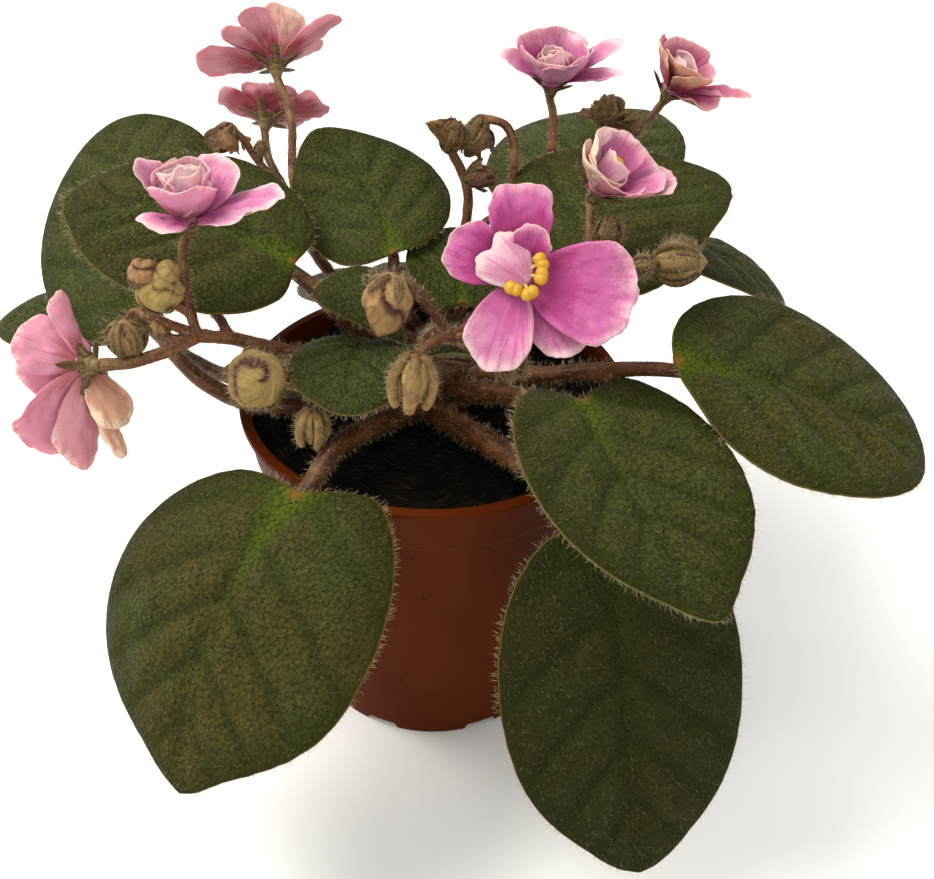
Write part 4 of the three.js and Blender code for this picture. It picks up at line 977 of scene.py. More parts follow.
def make_pot():
    """The pot's wall, its band and lip, and the foot ring, whose notches let water out."""
    band = POT_HEIGHT - BAND_HEIGHT
    lip = POT_HEIGHT - LIP_HEIGHT
    floor = FOOT_HEIGHT + WALL
    profile = [
        [0, 0],
        [HUB_RADIUS, 0],
        [HUB_RADIUS + 1, FOOT_HEIGHT],
        [BASE_RADIUS - FOOT_WIDTH, FOOT_HEIGHT],
        [BASE_RADIUS - FOOT_WIDTH, 0],
        [BASE_RADIUS, 0],
        [wall_radius(FOOT_HEIGHT), FOOT_HEIGHT],
        [wall_radius(band), band],
        [wall_radius(band) + BAND_STEP, band + BAND_STEP],
        [wall_radius(lip) + BAND_STEP, lip],
        [RIM_RADIUS, lip],
        [RIM_RADIUS, POT_HEIGHT],
        [wall_radius(POT_HEIGHT) - WALL + BAND_STEP, POT_HEIGHT],
        [wall_radius(band) - WALL + BAND_STEP, band + BAND_STEP],
        [wall_radius(band) - WALL, band],
        [wall_radius(floor) - WALL, floor],
        [0, floor],
    ]
    form = Form(POT)
    add_lathe(form, POT, lathe_path(profile), POT_SIDES, notched)
    form.make("pot_shell", "pot", "pot")


def rough_top(points, _):
    """Waves, as in the solid, and crumbs on the top of the soil."""
    x, y, z = points[..., 0], points[..., 1], points[..., 2]
    top = smooth_step(z, SOIL_TOP - 0.5, SOIL_TOP - 0.1)
    waves = SOIL_ROUGHNESS * np.sin(0.37 * x + 0.8) * np.cos(0.31 * y - 0.4)
    spots = np.stack([x, y], -1)
    lumps = 0.7 * ripples(spots, 6, 3) + 0.5 * ripples(spots, 2.6, 4) + 0.35 * ripples(spots, 1.3, 5)
    points[..., 2] = z + top * (waves + lumps)
    return points


def make_soil():
    """Peat that fills the pot nearly to its lip."""
    inner = lambda height: wall_radius(height) - WALL - GAP
    bottom = FOOT_HEIGHT + WALL + GAP
    band = POT_HEIGHT - BAND_HEIGHT
    edge = inner(SOIL_TOP) + BAND_STEP - 0.1
    profile = [
        [0, bottom],
        [inner(bottom), bottom],
        [inner(band), band],
        [inner(band + 2 * BAND_STEP) + BAND_STEP, band + 2 * BAND_STEP],
        [edge, SOIL_TOP - 1.4],
        *([edge * share, SOIL_TOP] for share in np.linspace(1, 0.02, SOIL_RINGS)),
        [0, SOIL_TOP],
    ]
    form = Form(SOIL)
    add_lathe(form, SOIL, profile, SOIL_SIDES, rough_top)
    form.make("soil_peat", "soil", "soil")


def leaf_frame(leaf):
    """The blade's axes as rows, its origin and its length: x runs from base to tip."""
    base, tip = np.array(leaf["base"], float), np.array(leaf["tip"], float)
    x = unit(tip - base)
    z = unit(UP - x * x[2])
    roll = math.radians(leaf["roll"])
    z = z * math.cos(roll) + np.cross(x, z) * math.sin(roll)
    return np.array([x, np.cross(z, x), z]), base, np.linalg.norm(tip - base)


def leaf_outline(leaf, length, angle):
    """A heart: round lobes behind the notch where the stalk comes in, and a pointed tip."""
    along, across = np.cos(angle), np.sin(angle)
    half = np.abs(np.where(angle > math.pi, angle - TURN, angle)) / math.pi
    lobe = length * np.where(across > 0, leaf["lobes"][0], leaf["lobes"][1])
    notch = np.maximum(0, (half - 1 + NOTCH_SHARE) / NOTCH_SHARE) ** NOTCH_POWER
    reach = np.where(along > 0, (1 - BLADE_MIDDLE) * length, BLADE_MIDDLE * length + lobe)
    blunt = 1 - 0.4 * smooth_step(along, 0.8, 1.0)
    point = leaf["point"] * np.maximum(0, along) ** 1.5 * blunt
    power = 0.92 + point + BACK_FULLNESS * np.minimum(0, along)
    x = BLADE_MIDDLE * length + reach * along + lobe * notch
    y = 0.5 * leaf["width"] * np.sign(across) * np.abs(across) ** power
    return x, y


def leaf_height(leaf, length, x, y):
    """The bent blade's height over its flat plane, as in the solids, and the midrib's sweep."""
    along, across = x / length, 2 * y / leaf["width"]
    bow = 4 * along * (1 - along)
    ripple = leaf["wave"] * across**2 * np.sin(5.2 * along + 1.7 * across + length)
    return leaf["arch"] * bow + leaf["cup"] * across**2 + ripple, leaf["sweep"] * bow


def vein_number(length, x, y):
    """Grows from base to tip, with a whole number on each side vein."""
    along, across = x / length, np.abs(y) / length
    return (along - 0.35 * across - 0.5 * across**2) / (1 + 1.1 * across) / VEIN_SPACING


def leaf_relief(length, x, y, share, vein, seed):
    """Quilted fields between the veins, some lumps, and a rim that turns down."""
    spots = np.stack([x, y], -1)
    size = length / FULL_LEAF
    between = np.abs(np.sin(math.pi * vein)) ** 0.8
    from_midrib = 1 - np.exp(-((y / (0.035 * length)) ** 2))
    inside = smooth_step(share, 1.0, 0.72)
    quilted = (between * from_midrib * 0.75 + 0.25 * from_midrib) * inside - 0.65 * inside
    lumps = 0.2 * ripples(spots, 9, seed + 1) + 0.05 * ripples(spots, 3.5, seed + 2)
    return QUILT * size * quilted + size * lumps * inside - 0.5 * size * smooth_step(share, 0.86, 1)


def leaf_glow(length, x, y, vein):
    """How lit the green is, along the midrib and on the first side veins at the base."""
    along = x / length
    fade = 0.7 * smooth_step(along, 0.38, 0.0) + 0.3 * smooth_step(along, 0.8, 0.0)
    width = length * (0.014 + 0.05 * np.maximum(0, 1 - along * 2.2) ** 2)
    near_base = smooth_step(np.hypot(along, y / length), 0.34, 0.05) * smooth_step(along, -0.05, 0.05)
    branch = np.exp(-((np.abs(vein - np.round(vein)) / 0.13) ** 2)) * near_base
    return np.clip(np.exp(-((y / width) ** 2)) * fade + 0.25 * branch, 0, 1)


def leaf_surface(leaf, length, angle, share, seed):
    """Points of a blade's upper side in its own frame, and what is drawn on it there."""
    rim_x, rim_y = leaf_outline(leaf, length, angle)
    middle = BLADE_MIDDLE * length
    spread = np.hypot(rim_x - middle, rim_y)
    teeth = 0.07 * ripples(np.stack([rim_x, rim_y], -1), 5, seed) * smooth_step(share, 0.7, 1)
    share_out = share * (1 + teeth / np.maximum(spread, 1))
    x, y = middle + share_out * (rim_x - middle), share_out * rim_y
    height, sweep = leaf_height(leaf, length, x, y)
    vein = vein_number(length, x, y)
    numbers = {
        "vein": vein,
        "edge": (1 - share) * spread,
        "glow": leaf_glow(length, x, y, vein),
        "joint": smooth_step(np.hypot(x, y), 0.045 * length, 0.01 * length),
        "fresh": np.full_like(x, leaf["fresh"]),
        # painted shade of the whole leaf, from the table
        "shade": np.full_like(x, leaf.get("shade", 0.0)),
        "flat": np.stack([x, y, np.full_like(x, 100.0 * seed)], -1),
    }
    relief = leaf_relief(length, x, y, share, vein, seed)
    return np.stack([x, y + sweep, height + relief], -1), numbers


def blade_hairs(form, leaf, length, place, axes, seed):
    """Long hairs out of the blade's rim and short ones all over its two sides."""
    draw = np.random.default_rng(seed)
    at = lambda angle, share: leaf_surface(leaf, length, angle, share, seed)[0]
    angle = np.linspace(0, TURN, RIM_STEPS, endpoint=False)
    x, y = leaf_outline(leaf, length, angle)
    run = np.concatenate([[0], np.cumsum(np.hypot(np.diff(x, append=x[0]), np.diff(y, append=y[0])))])
    count = int(run[-1] * RIM_HAIRS)
    spot = np.interp(draw.uniform(0, run[-1], count), run, np.append(angle, TURN))
    rim = at(spot, np.full(count, 0.995))
    outward = unit(rim - at(spot, np.full(count, 0.9)))
    ways = outward + 0.15 * UP + 0.33 * draw.normal(size=(count, 3))
    shortest, longest, width = RIM_HAIR
    lengths = (0.6 + 0.4 * min(1.0, length / 50)) * draw.uniform(shortest, longest, count)
    add_hairs(form, place(rim - 0.25 * UP), ways @ axes, lengths, width, draw, joints=2)
    for lift, up, density, reach, width in BLADE_HAIRS:
        count = int(0.7 * length * leaf["width"] * density * (1 + 4 * leaf["fresh"] ** 2))
        angle = draw.uniform(0, TURN, count)
        roots = at(angle, draw.uniform(0, 1, count) ** 0.36 * 0.985) + lift * UP
        ways = np.array([0.45, 0, up]) + 0.4 * draw.normal(size=(count, 3))
        lengths = reach * draw.uniform(0.6, 1.3, count)
        add_hairs(form, place(roots), ways @ axes, lengths, width, draw, HAIR_CURVE)


def crown_radius(height):
    profile = np.array(CROWN)
    return np.interp(height, profile[:, 1], profile[:, 0])


def on_crown(place, following, radius):
    """A point inside the crown, and where a stem leaves it on its way to its next point."""
    angle, height = math.radians(place[0]), place[1]
    outward = np.array([math.cos(angle), math.sin(angle), 0])
    surface = outward * crown_radius(height) + UP * height
    away = unit(np.asarray(following, float) - surface) @ outward
    start = surface + outward * (GAP + 0.1 + radius * math.sqrt(max(0, 1 - away**2)))
    return [surface - outward * (0.45 * crown_radius(height)), start]


def make_leaf(index, leaf):
    axes, base, length = leaf_frame(leaf)
    seed = index + 1
    place = placer(base, axes)
    small = length < SMALL_LEAF
    grid = SMALL_LEAF_GRID if small else LEAF_GRID
    angle, share = plate_grid(*grid, 0.9)
    top, numbers = leaf_surface(leaf, length, angle, share, seed)
    blade = Form(LEAF, HAIR)
    thickness = BLADE_THICKNESS * (1 - 0.55 * share**4) * (0.6 if small else 1)
    add_plate(blade, LEAF, top, thickness, grid, place, **numbers)
    blade_hairs(blade, leaf, length, place, axes, seed)
    blade.make(leaf["name"] + "_hairy_blade", "blade", leaf["name"] + "_blade")
    make_petiole(leaf, length, place, seed)


def make_petiole(leaf, length, place, seed):
    """The stalk, which runs on under the blade as its midrib."""
    draw = np.random.default_rng(seed + STALK_SEED)
    thick = leaf["petiole"]
    thin = STALK_TAPER * thick
    dip = 0.62 * QUILT * length / FULL_LEAF

    def below(along):
        height, sweep = leaf_height(leaf, length, along * length, 0.0)
        drop = BLADE_THICKNESS + (0.85 - 0.35 * along) * thin
        return place([along * length, sweep, height - drop - dip])

    route = [np.array(point, float) for point in leaf["via"]]
    route += [below(along) for along in (0, PETIOLE_UNDER, 0.5, 0.86)]
    path, run = curve_through(on_crown(leaf["from"], route[0], thick) + route, int(24 + 1.1 * length))
    steps = np.arange(len(path))
    joint = int(np.argmin(np.linalg.norm(path - below(0), axis=1)))
    share = steps / joint
    under = np.clip((steps - joint) / (len(path) - 1 - joint), 0, 1)
    radii = np.where(share < 1, thick + (thin - thick) * share, thin * (1 - under) + 0.25 * under)
    radii = radii * (1 + 0.22 * np.exp(-share * joint * run / len(path) / 3))

    def channelled(run_at, angles):
        facing = np.abs(np.angle(np.exp(1j * (angles - math.pi / 2))))
        channel = 0.16 * np.exp(-((facing / 0.55) ** 2))
        return 1 - channel + 0.035 * ripples(skin_spots(run_at, angles, 4), 7, seed + 5)

    stalk = Form(PETIOLE, HAIR)
    green = smooth_step(share, 1.0, 1.3) * 0.8
    add_tube(stalk, PETIOLE, path, radii, STALK_SIDES, channelled, 50.0 * seed, green=green)
    count = int(TURN * thick * run * joint / len(path) * STALK_HAIRS)
    free, hidden = slice(0, joint + 1), slice(joint, None)
    hairs_on_tube(stalk, path[free], radii[free], count, *STALK_HAIR, draw, 0.25)
    hairs_on_tube(stalk, path[hidden], radii[hidden], count // 4, *UNDER_STALK_HAIR, draw, 0.25)
    stalk.make(leaf["name"] + "_stalk", "petiole", leaf["name"] + "_petiole")


def scarred(points, _):
    """Pushes the crown's skin in and out."""
    spots = points.reshape(-1, 3)
    bumps = 1 + 0.05 * ripples(spots, 5, 8) + 0.03 * ripples(spots, 2, 9)
    points[..., :2] *= bumps.reshape(points.shape[:2])[..., None]
    return points


def make_crown():
    """The short rough stem that everything grows from, with hairs all round its top."""
    draw = np.random.default_rng(CROWN_SEED)
    form = Form(PETIOLE, HAIR)
    rings, sides = CROWN_GRID
    heights = np.linspace(CROWN[0][1], CROWN[-1][1], rings)
    profile = np.stack([crown_radius(heights), heights], 1)
    add_lathe(form, PETIOLE, profile, sides, scarred, green=smooth_step(heights, 90, 99))
    height = draw.uniform(81, 99.5, CROWN_HAIRS)
    angle = draw.uniform(0, TURN, CROWN_HAIRS)
    out = np.stack([np.cos(angle), np.sin(angle), 0 * angle], 1)
    roots = out * crown_radius(height)[:, None] * 0.96 + height[:, None] * UP
    ways = out + 0.5 * UP + 0.3 * draw.normal(size=(CROWN_HAIRS, 3))
    add_hairs(form, roots, ways, *CROWN_HAIR, draw)
    form.make("crown_stem", "crown", "crown")


def petal_surface(petal, angle, share, seed):
    """Points of a petal's front in its own plane, and what is drawn on it there."""
    length, width = petal["length"], petal["width"]
    along, across = np.cos(angle), np.sin(angle)
    middle = PETAL_MIDDLE * length
    reach = np.where(along > 0, length - middle, middle)
    rim = np.stack([reach * along, 0.5 * width * across * (1 + 0.22 * along)], -1)
    spread = np.linalg.norm(rim, axis=-1)
    free = smooth_step(along, -0.35, 0.45)
    jags = 0.1 * ripples(rim, 2, seed) + 0.35 * ripples(rim, 7, seed + 1)
    jags = jags - petal.get("cleft", 0) * length * np.exp(-((np.arctan2(across, along) / 0.22) ** 2))
    out = share * (1 + jags * free * smooth_step(share, 0.6, 1) / np.maximum(spread, 1))
    x, y = middle + out * rim[..., 0], out * rim[..., 1]
    fan = np.arctan2(y, x + 0.22 * length)
    along, across = x / length, 2 * y / width
    bend = petal["curl"] * along**2 + petal["hollow"] * across**2
    pleats = 0.07 * np.cos(24 * fan + seed) * smooth_step(along, 0.02, 0.35) * (1.2 - along)
    spots = np.stack([x, y], -1)
    size = width / 14 * petal.get("ruffle", 1)
    ruffles = 0.6 * size * ripples(spots, 9, seed + 2) * smooth_step(share, 0.35, 1) * free
    ruffles = ruffles + 0.2 * size * ripples(spots, 3.4, seed + 3) * smooth_step(share, 0.6, 1) * free
    dents = 0.12 * ripples(spots, 4, seed + 4)
    numbers = {
        "along": along,
        "edge": (1 - share) * spread + 0.5 * (1 - free),
        "flat": np.stack([18 * fan, x, np.full_like(x, 31.0 * seed)], -1),
        "deep": np.full_like(x, petal.get("deep", 0.5)),
        "peach": np.full_like(x, petal.get("peach", 0.4)),
    }
    return np.stack([x, y, bend + pleats + ruffles + dents], -1), numbers


def flower_frame(flower):
    """The flower's axes as rows and its middle: z is the way it faces."""
    z = unit(flower["facing"])
    y = np.array(flower["up"], float)
    y = unit(y - z * (y @ z))
    return np.array([np.cross(y, z), y, z]), np.array(flower["centre"], float)


def petal_place(petal, flower_place):
    """Leans a petal out of the flower's plane, sets it off from the middle and turns it."""
    lean, turn = math.radians(petal["lean"]), math.radians(petal["turn"])

    def place(points):
        x, y, z = np.moveaxis(np.asarray(points, float), -1, 0)
        x, z = x * math.cos(lean) - z * math.sin(lean), x * math.sin(lean) + z * math.cos(lean)
        x, z = x + petal.get("start", PETAL_START), z + petal.get("lift", 0)
        x, y = x * math.cos(turn) - y * math.sin(turn), x * math.sin(turn) + y * math.cos(turn)
        return flower_place(np.stack([x, y, z], -1))

    return place


def add_petal(form, material, petal, flower_place, seed, **tones):
    grid = next(grid for length, grid in PETAL_GRIDS if petal["length"] > length)
    angle, share = plate_grid(*grid, 0.85)
    top, numbers = petal_surface(petal, angle, share, seed)
    numbers.update({key: np.full_like(share, value) for key, value in tones.items()})
    thickness = PETAL_THICKNESS - 0.36 * share**2
    place = petal_place(petal, flower_place)
    add_plate(form, material, top - PETAL_SETBACK * UP, thickness, grid, place, **numbers)


def add_ball(form, centre, radii, place, seed, sides):
    """A slightly uneven ball, from half-widths along x, y and z."""
    heights = np.cos(math.pi * np.arange(sides // 2 + 1) / (sides // 2))[::-1]
    profile = np.stack([np.sqrt(np.maximum(0, 1 - heights**2)), heights], 1)

    def uneven(points):
        grown = points * (1 + 0.06 * ripples(points, 1.6, seed))[..., None]
        return place(centre + grown * np.asarray(radii))

    add_lathe(form, ANTHER, profile, sides, None, uneven)


def add_thread(form, points, steps, radii):
    """A pale filament or style, from the radii of its two ends."""
    path, _ = curve_through(points, steps)
    add_tube(form, ANTHER, path, np.linspace(*radii, steps + 1), THREAD_SIDES, tint=1.0)


def add_anther(form, place, x, y, height, seed):
    """Two yellow lobes side by side on the end of a pale filament."""
    reach = math.hypot(x, y) or 1.0
    across = np.array([-y / reach, x / reach, 0])
    tip = np.array([x, y, height])
    for sign in (-1, 1):
        add_ball(form, tip + across * sign * ANTHER_SPREAD, ANTHER_LOBE, place, seed + sign, 18)
    add_ball(form, tip - UP * 0.1, ANTHER_MIDDLE, place, seed + 3, 14)
    add_thread(form, place([UP, 0.5 * tip + 0.2 * UP, tip - UP * 0.4]), 8, FILAMENT_RADII)


def draw_frill(draw, turn, size):
    """A small ruffled petal of the flower's middle, some of whose measures are drawn."""
    return {
        "turn": turn + draw.uniform(0, 40),
        "lean": draw.uniform(60, 80),
        "length": size * draw.uniform(6, 9),
        "width": size * draw.uniform(6.5, 9),
        "curl": draw.uniform(1.5, 4),
        "hollow": draw.uniform(1, 3),
        "ruffle": FRILL_RUFFLE,
        "deep": draw.uniform(0.05, 0.45),
        "peach": 0.0,
    }


def make_flower(index, flower):
    axes, centre = flower_frame(flower)
    place = placer(centre, axes)
    seed = 40 * (index + 1)
    form = Form(PETAL)
    colours = {"deep": flower["deep"], "peach": flower["peach"]}
    for number, petal in enumerate(named(PETAL_COLUMNS, flower["petals"])):
        add_petal(form, PETAL, {**colours, **petal}, place, seed + 5 * number)
    draw = np.random.default_rng(seed)
    for number in range(flower["frills"]):
        frill = draw_frill(draw, 360 / flower["frills"] * number, flower.get("fullness", 1))
        add_petal(form, PETAL, frill, place, seed + 60 + 5 * number)
    tube = lathe_path(TUBE_PROFILE, SOFT_CORNER)
    along = np.linspace(0, 0.15, len(tube))
    tones = {"along": along, "edge": along + 5, "deep": along + 0.35, "peach": along + 0.6}
    add_lathe(form, PETAL, tube, TUBE_SIDES, None, place, **tones)
    form.make(flower["name"] + "_petals", "petal", flower["name"] + "_corolla")
    heart = Form(ANTHER)
    for number, (x, y) in enumerate(flower["anthers"]):
        add_anther(heart, place, x, y, flower.get("anther_height", ANTHER_HEIGHT), seed + 7 * number)
    add_thread(heart, place(STYLE), 12, STYLE_RADII)
    heart.make(flower["name"] + "_heart", "anther", flower["name"] + "_anthers")


def bud_profile(share):
    """A bud's height and radius as shares, from its base to its tip."""
    return 1.05 * share - 0.05, 1.02 * np.sin(math.pi * share**0.8) ** 0.65


def bud_folds(kind, share, angle, seed):
    """From 0 in a groove between rolled petals to 1 on their backs."""
    wobble = 0.5 * ripples(np.stack([3 * share, np.cos(angle), np.sin(angle)], -1), 2.2, seed)
    wave = np.sin(0.5 * kind["arms"] * (angle + kind["twist"] * share) + wobble)
    return np.abs(wave) ** kind["sharp"]


def add_bud(form, bud, seed):
    kind = dict(zip(BUD_COLUMNS, BUD_KINDS[bud["kind"]]))
    z = unit(bud["axis"])
    x = unit(np.cross(z, [0.3, 1.0, 0.2]))
    axes = np.array([x, np.cross(z, x), z])
    place = placer(np.array(bud["at"]), axes)
    length, radius = bud["length"], bud["radius"]
    rings, sides = BUD_GRID
    share = np.linspace(0, 1, rings)
    height, girth = bud_profile(share)
    profile = np.stack([girth * radius, height * length], 1)
    folds = bud_folds(kind, *np.meshgrid(share, ring_angles(sides), indexing="ij"), seed)[1:-1]

    def folded(points, _):
        crumple = kind["crumple"] * ripples(points, 0.9 * radius, seed + 1)
        scale = (0.94 + kind["depth"] * (folds - 0.75) + crumple) * kind["girth"]
        points[..., :2] *= scale[..., None]
        points[..., 2] += kind["crumple"] * radius * ripples(points, radius, seed + 2)
        return points

    add_lathe(form, BUD, profile, sides, folded, place)
    form.also(fold=np.append(folds, [1, 1]), pink=bud["pink"], brown=bud["brown"])
    draw = np.random.default_rng(seed + 9)
    turn = draw.uniform(0, TURN)
    for lobe in range(SEPALS):
        add_calyx_lobe(form, place, bud, turn + TURN * lobe / SEPALS, kind, seed + lobe, draw)
    if bud["kind"] == "withered":
        add_dry_petals(form, bud, place, draw, seed)
    bud_hairs(form, length, radius, kind["fuzz"], place, axes, draw)


def bud_hairs(form, length, radius, fuzz, place, axes, draw):
    """Hairs all over a bud but its tip."""
    count = int(5 * length * radius * fuzz)
    at = draw.uniform(0.03, 0.9, count)
    angle = draw.uniform(0, TURN, count)
    height, girth = bud_profile(at)
    out = np.stack([np.cos(angle), np.sin(angle), 0.5 - at], 1)
    reach = girth * radius
    roots = np.stack([np.cos(angle) * reach, np.sin(angle) * reach, height * length], 1)
    ways = (out + 0.3 * draw.normal(size=(count, 3))) @ axes
    roots = place(roots * np.array([0.93, 0.93, 1]))
    shortest, longest, width = BUD_HAIR
    add_hairs(form, roots, ways, draw.uniform(shortest, longest, count), width, draw)


def add_dry_petals(form, bud, place, draw, seed):
    """Shrivelled petals that stand every way out of a withered flower."""
    lifted = lambda points: place(points + 0.15 * bud["length"] * UP)
    for number in range(DRY_PETALS):
        dry = {
            "turn": 137.5 * number + draw.uniform(-20, 20),
            "lean": draw.uniform(25, 85),
            "length": bud["length"] * draw.uniform(0.55, 0.85),
            "width": bud["radius"] * draw.uniform(1.0, 1.6),
            "curl": draw.uniform(-2, 3),
            "hollow": draw.uniform(-1, 2.5),
            "ruffle": 4.5,
        }
        tones = {"fold": draw.uniform(0.4, 1), "pink": bud["pink"]}
        tones["brown"] = bud["brown"] * draw.uniform(0.7, 1.1)
        add_petal(form, BUD, dry, lifted, seed + 11 * number, **tones)


def add_lobe(form, material, path, side, width, thick, seed, hairs, draw, **tones):
    """A narrow flat lobe with hairs, from the count, length and width of these."""
    ahead = unit(np.gradient(path, axis=0))
    side = unit(side - ahead * (side * ahead).sum(1)[:, None])
    oval = lambda run, angles: 1 / np.sqrt(np.cos(angles) ** 2 + (np.sin(angles) / thick) ** 2)
    frames = (ahead, side, np.cross(side, ahead))
    add_tube(form, material, path, width, LOBE_SIDES, oval, seed, frames, **tones)
    hairs_on_tube(form, path, width * 0.7, *hairs, draw, 0.1)


def add_calyx_lobe(form, place, bud, turn, kind, seed, draw):
    """A lobe that hugs the bud from its base and stands off a little at its end."""
    share = np.linspace(0.015, kind["wrap"], LOBE_STEPS)
    way = np.linspace(0, 1, LOBE_STEPS)
    height, girth = bud_profile(share)
    reach = girth * bud["radius"] * kind["girth"] + 0.25 + kind["flare"] * bud["radius"] * way**2
    lean = turn + 0.25 * way * math.sin(seed)
    path = place(np.stack([reach * np.cos(lean), reach * np.sin(lean), height * bud["length"]], 1))
    side = place(np.stack([-np.sin(lean), np.cos(lean), 0 * lean], 1)) - place(np.zeros(3))
    taper = np.sin(math.pi * np.clip(0.16 + kind["taper"] * way, 0, 1)) ** 0.6
    width = kind["lobe"] * bud["radius"] * taper + 0.06
    material, tones = CALYX, {"green": kind["green"] * (1 - 0.6 * way)}
    if bud["kind"] == "claw":
        material = BUD
        tones = {"fold": 1 - 0.4 * (1 - way) ** 2, "pink": bud["pink"] + 0.1, "brown": 0.6 * (1 - way)}
    hairs = (int(bud["length"] * 9), *BUD_LOBE_HAIR)
    add_lobe(form, material, path, side, width, kind["thick"], 9.0 * seed, hairs, draw, **tones)


def add_flower_calyx(form, flower, seed, draw):
    """A green funnel round a flower's tube, with five lobes along the backs of its petals."""
    axes, centre = flower_frame(flower)
    place = placer(centre, axes)
    base = -TUBE_LENGTH - GAP - 1.2
    funnel = lathe_path(
        [[0, base], [1.0, base], [1.5, base + 1.5], [2.2, base + 3.2], [3.1, -1.0], [2.9, -0.8],
         [0, -2.0]], SOFT_CORNER)
    green = np.linspace(1, 0.6, len(funnel))
    add_lathe(form, CALYX, funnel, FUNNEL_SIDES, None, place, green=green)
    leans = [petal["lean"] for petal in named(PETAL_COLUMNS, flower["petals"])]
    tilt = math.radians(max(0, 0.8 * (np.median(leans) - 10)))
    way = np.linspace(0, 1, 13)
    reach = 2.0 + 5.2 * way * math.cos(tilt)
    height = base + 3.0 + 1.5 * way**0.7 + 5.2 * way * math.sin(tilt)
    width = 0.95 * np.sin(math.pi * np.clip(0.25 + 0.75 * way, 0, 1)) ** 0.7 + 0.05
    green = 0.75 * (1 - way) ** 1.5
    for lobe in range(SEPALS):
        turn = TURN * (lobe + 0.3) / SEPALS + 0.2 * math.sin(seed + lobe)
        path = place(np.stack([reach * math.cos(turn), reach * math.sin(turn), height], 1))
        side = np.array([-math.sin(turn), math.cos(turn), 0]) @ axes
        hairs = (40, *FLOWER_LOBE_HAIR)
        add_lobe(form, CALYX, path, side, width, 0.4, 9.0 * seed + lobe, hairs, draw, green=green)


def add_stem(form, points, radius, end_radius, green_end, seed, draw):
    """A hairy stem, thicker where it starts and greener towards its end."""
    reach = sum(np.linalg.norm(np.diff(points, axis=0), axis=1))
    path, run = curve_through(points, max(8, int(1.4 * reach)))
    way = np.linspace(0, 1, len(path))
    radii = radius + (end_radius - radius) * way
    radii = radii * (1 + 0.18 * np.exp(-way * run / 1.8))
    uneven = lambda run_at, angles: 1 + 0.07 * ripples(skin_spots(run_at, angles, 3), 4, seed)
    green = green_end * smooth_step(way, 0.35, 0.95)
    add_tube(form, STEM, path, radii, STEM_SIDES, uneven, 20.0 * seed, green=green)
    count = int(TURN * radius * run * STEM_HAIRS)
    hairs_on_tube(form, path, radii, count, *STEM_HAIR, draw, 0.15)


def make_spray(index, spray):
    draw = np.random.default_rng(SPRAY_SEED + index)
    form = Form(STEM, HAIR, BUD, CALYX)
    flowers = {flower["name"]: flower for flower in named(FLOWER_COLUMNS, FLOWERS)}
    for number, stem in enumerate(named(STEM_COLUMNS, spray["stems"])):
        points = [np.array(point, float) for point in stem["through"]]
        if number == 0:
            points = on_crown(spray["from"], points[0], stem["radius"]) + points
        green_end = 0.15
        if "flower" in stem:
            flower = flowers[stem["flower"]]
            axes, centre = flower_frame(flower)
            points.append(centre - (TUBE_LENGTH + GAP + 0.9) * axes[2])
            add_flower_calyx(form, flower, index + number, draw)
            green_end = 0.5
        add_stem(form, points, stem["radius"], stem["end_radius"], green_end, 10 * index + number, draw)
    for number, bud in enumerate(named(BUD_PLACE_COLUMNS, spray["buds"])):
        add_bud(form, bud, BUD_SEED + 20 * index + 3 * number)
    form.make(spray["name"] + "_stems", "spray", spray["name"])


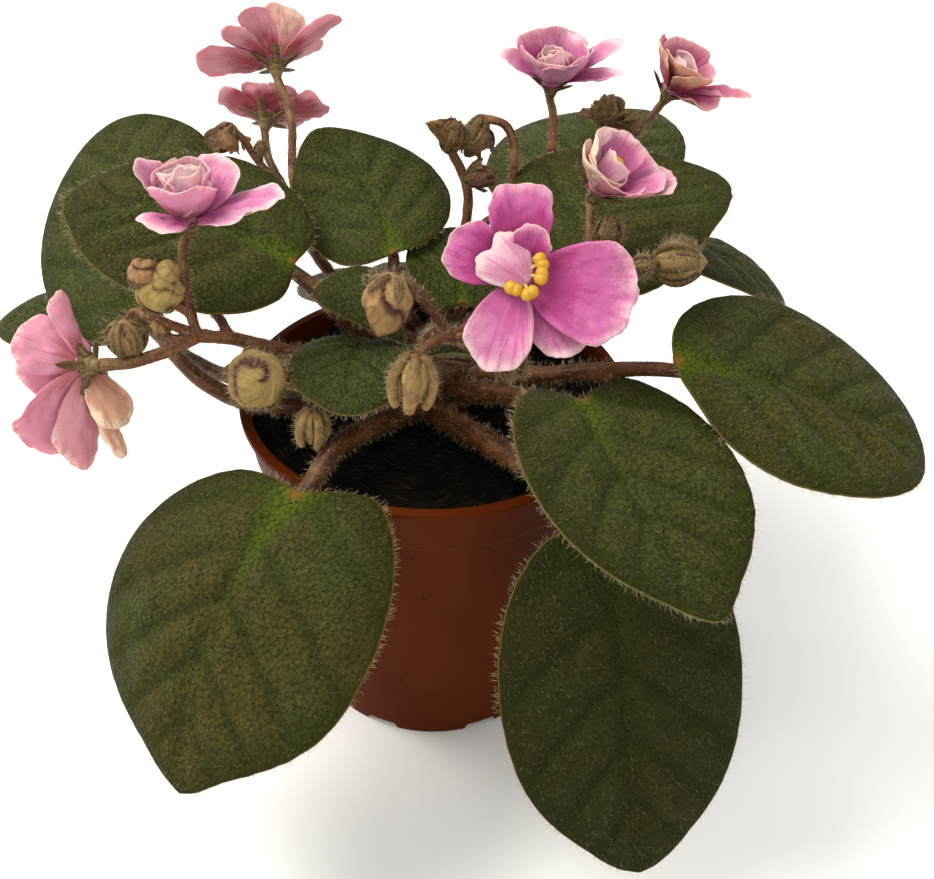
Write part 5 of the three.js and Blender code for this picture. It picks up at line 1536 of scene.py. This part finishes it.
def make_floor():
    mesh = bpy.data.meshes.new("floor")
    reach = FLOOR_REACH * MM
    corners = [(x * reach, y * reach, 0) for x, y in ((-1, -1), (1, -1), (1, 1), (-1, 1))]
    mesh.from_pydata(corners, [], [(0, 1, 2, 3)])
    mesh.materials.append(floor_look())
    floor = bpy.data.objects.new("floor", mesh)
    bpy.context.scene.collection.objects.link(floor)
    floor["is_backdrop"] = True


def make_lights():
    world = bpy.data.worlds.new("studio")
    world.use_nodes = True
    sky = world.node_tree.nodes["Background"].inputs
    sky["Color"].default_value = (*SKY_COLOUR, 1.0)
    sky["Strength"].default_value = SKY_STRENGTH
    bpy.context.scene.world = world
    for name, place, size, power, colour in LAMPS:
        lamp = bpy.data.lights.new(name, "AREA")
        lamp.shape = "SQUARE"
        lamp.size = size * MM
        lamp.energy = power
        lamp.color = colour
        light = bpy.data.objects.new(name, lamp)
        light.location = Vector(place) * MM
        light.rotation_euler = (Vector(LAMP_TARGET) - Vector(place)).to_track_quat("-Z", "Y").to_euler()
        bpy.context.scene.collection.objects.link(light)


def make_camera():
    """A camera that looks down by its pitch and is rolled to the right."""
    pitch, roll = math.radians(CAMERA_PITCH), math.radians(CAMERA_ROLL)
    ahead = np.array([0, math.cos(pitch), -math.sin(pitch)])
    upward = np.array([0, math.sin(pitch), math.cos(pitch)])
    right = np.array([1.0, 0, 0])
    place = np.eye(4)
    place[:3, 0] = right * math.cos(roll) + upward * math.sin(roll)
    place[:3, 1] = upward * math.cos(roll) - right * math.sin(roll)
    place[:3, 2] = -ahead
    place[:3, 3] = np.array(CAMERA_PLACE) * MM
    lens = bpy.data.cameras.new("camera")
    lens.sensor_width = SENSOR
    lens.lens = FOCAL_PIXELS / FRAME_WIDTH * SENSOR
    lens.clip_start = 0.01
    camera = bpy.data.objects.new("camera", lens)
    camera.matrix_world = Matrix(place.tolist())
    bpy.context.scene.collection.objects.link(camera)
    bpy.context.scene.camera = camera
    bpy.context.scene.view_settings.view_transform = "Standard"


LEAF = leaf_look()
HAIR = hair_look()
PETIOLE = stalk_look("stalk", (0.100, 0.034, 0.010), (0.034, 0.010, 0.002), (0.135, 0.060, 0.018))
STEM = stalk_look("stem", (0.150, 0.050, 0.020), (0.060, 0.016, 0.007), (0.190, 0.090, 0.036))
CALYX = stalk_look("calyx", (0.140, 0.078, 0.028), (0.060, 0.025, 0.008), (0.120, 0.080, 0.022))
POT = pot_look()
SOIL = soil_look()
PETAL = petal_look()
ANTHER = anther_look()
BUD = bud_look()

make_camera()
make_lights()
make_floor()
make_pot()
make_soil()
make_crown()
for index, leaf in enumerate(named(LEAF_COLUMNS, LEAVES)):
    make_leaf(index, leaf)
for index, flower in enumerate(named(FLOWER_COLUMNS, FLOWERS)):
    make_flower(index, flower)
for index, spray in enumerate(named(SPRAY_COLUMNS, SPRAYS)):
    make_spray(index, spray)

sizes = {"cad": cad_box, "visual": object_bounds()}
{key: [list(map(float, corner)) for corner in box] for key, box in sizes.items()}
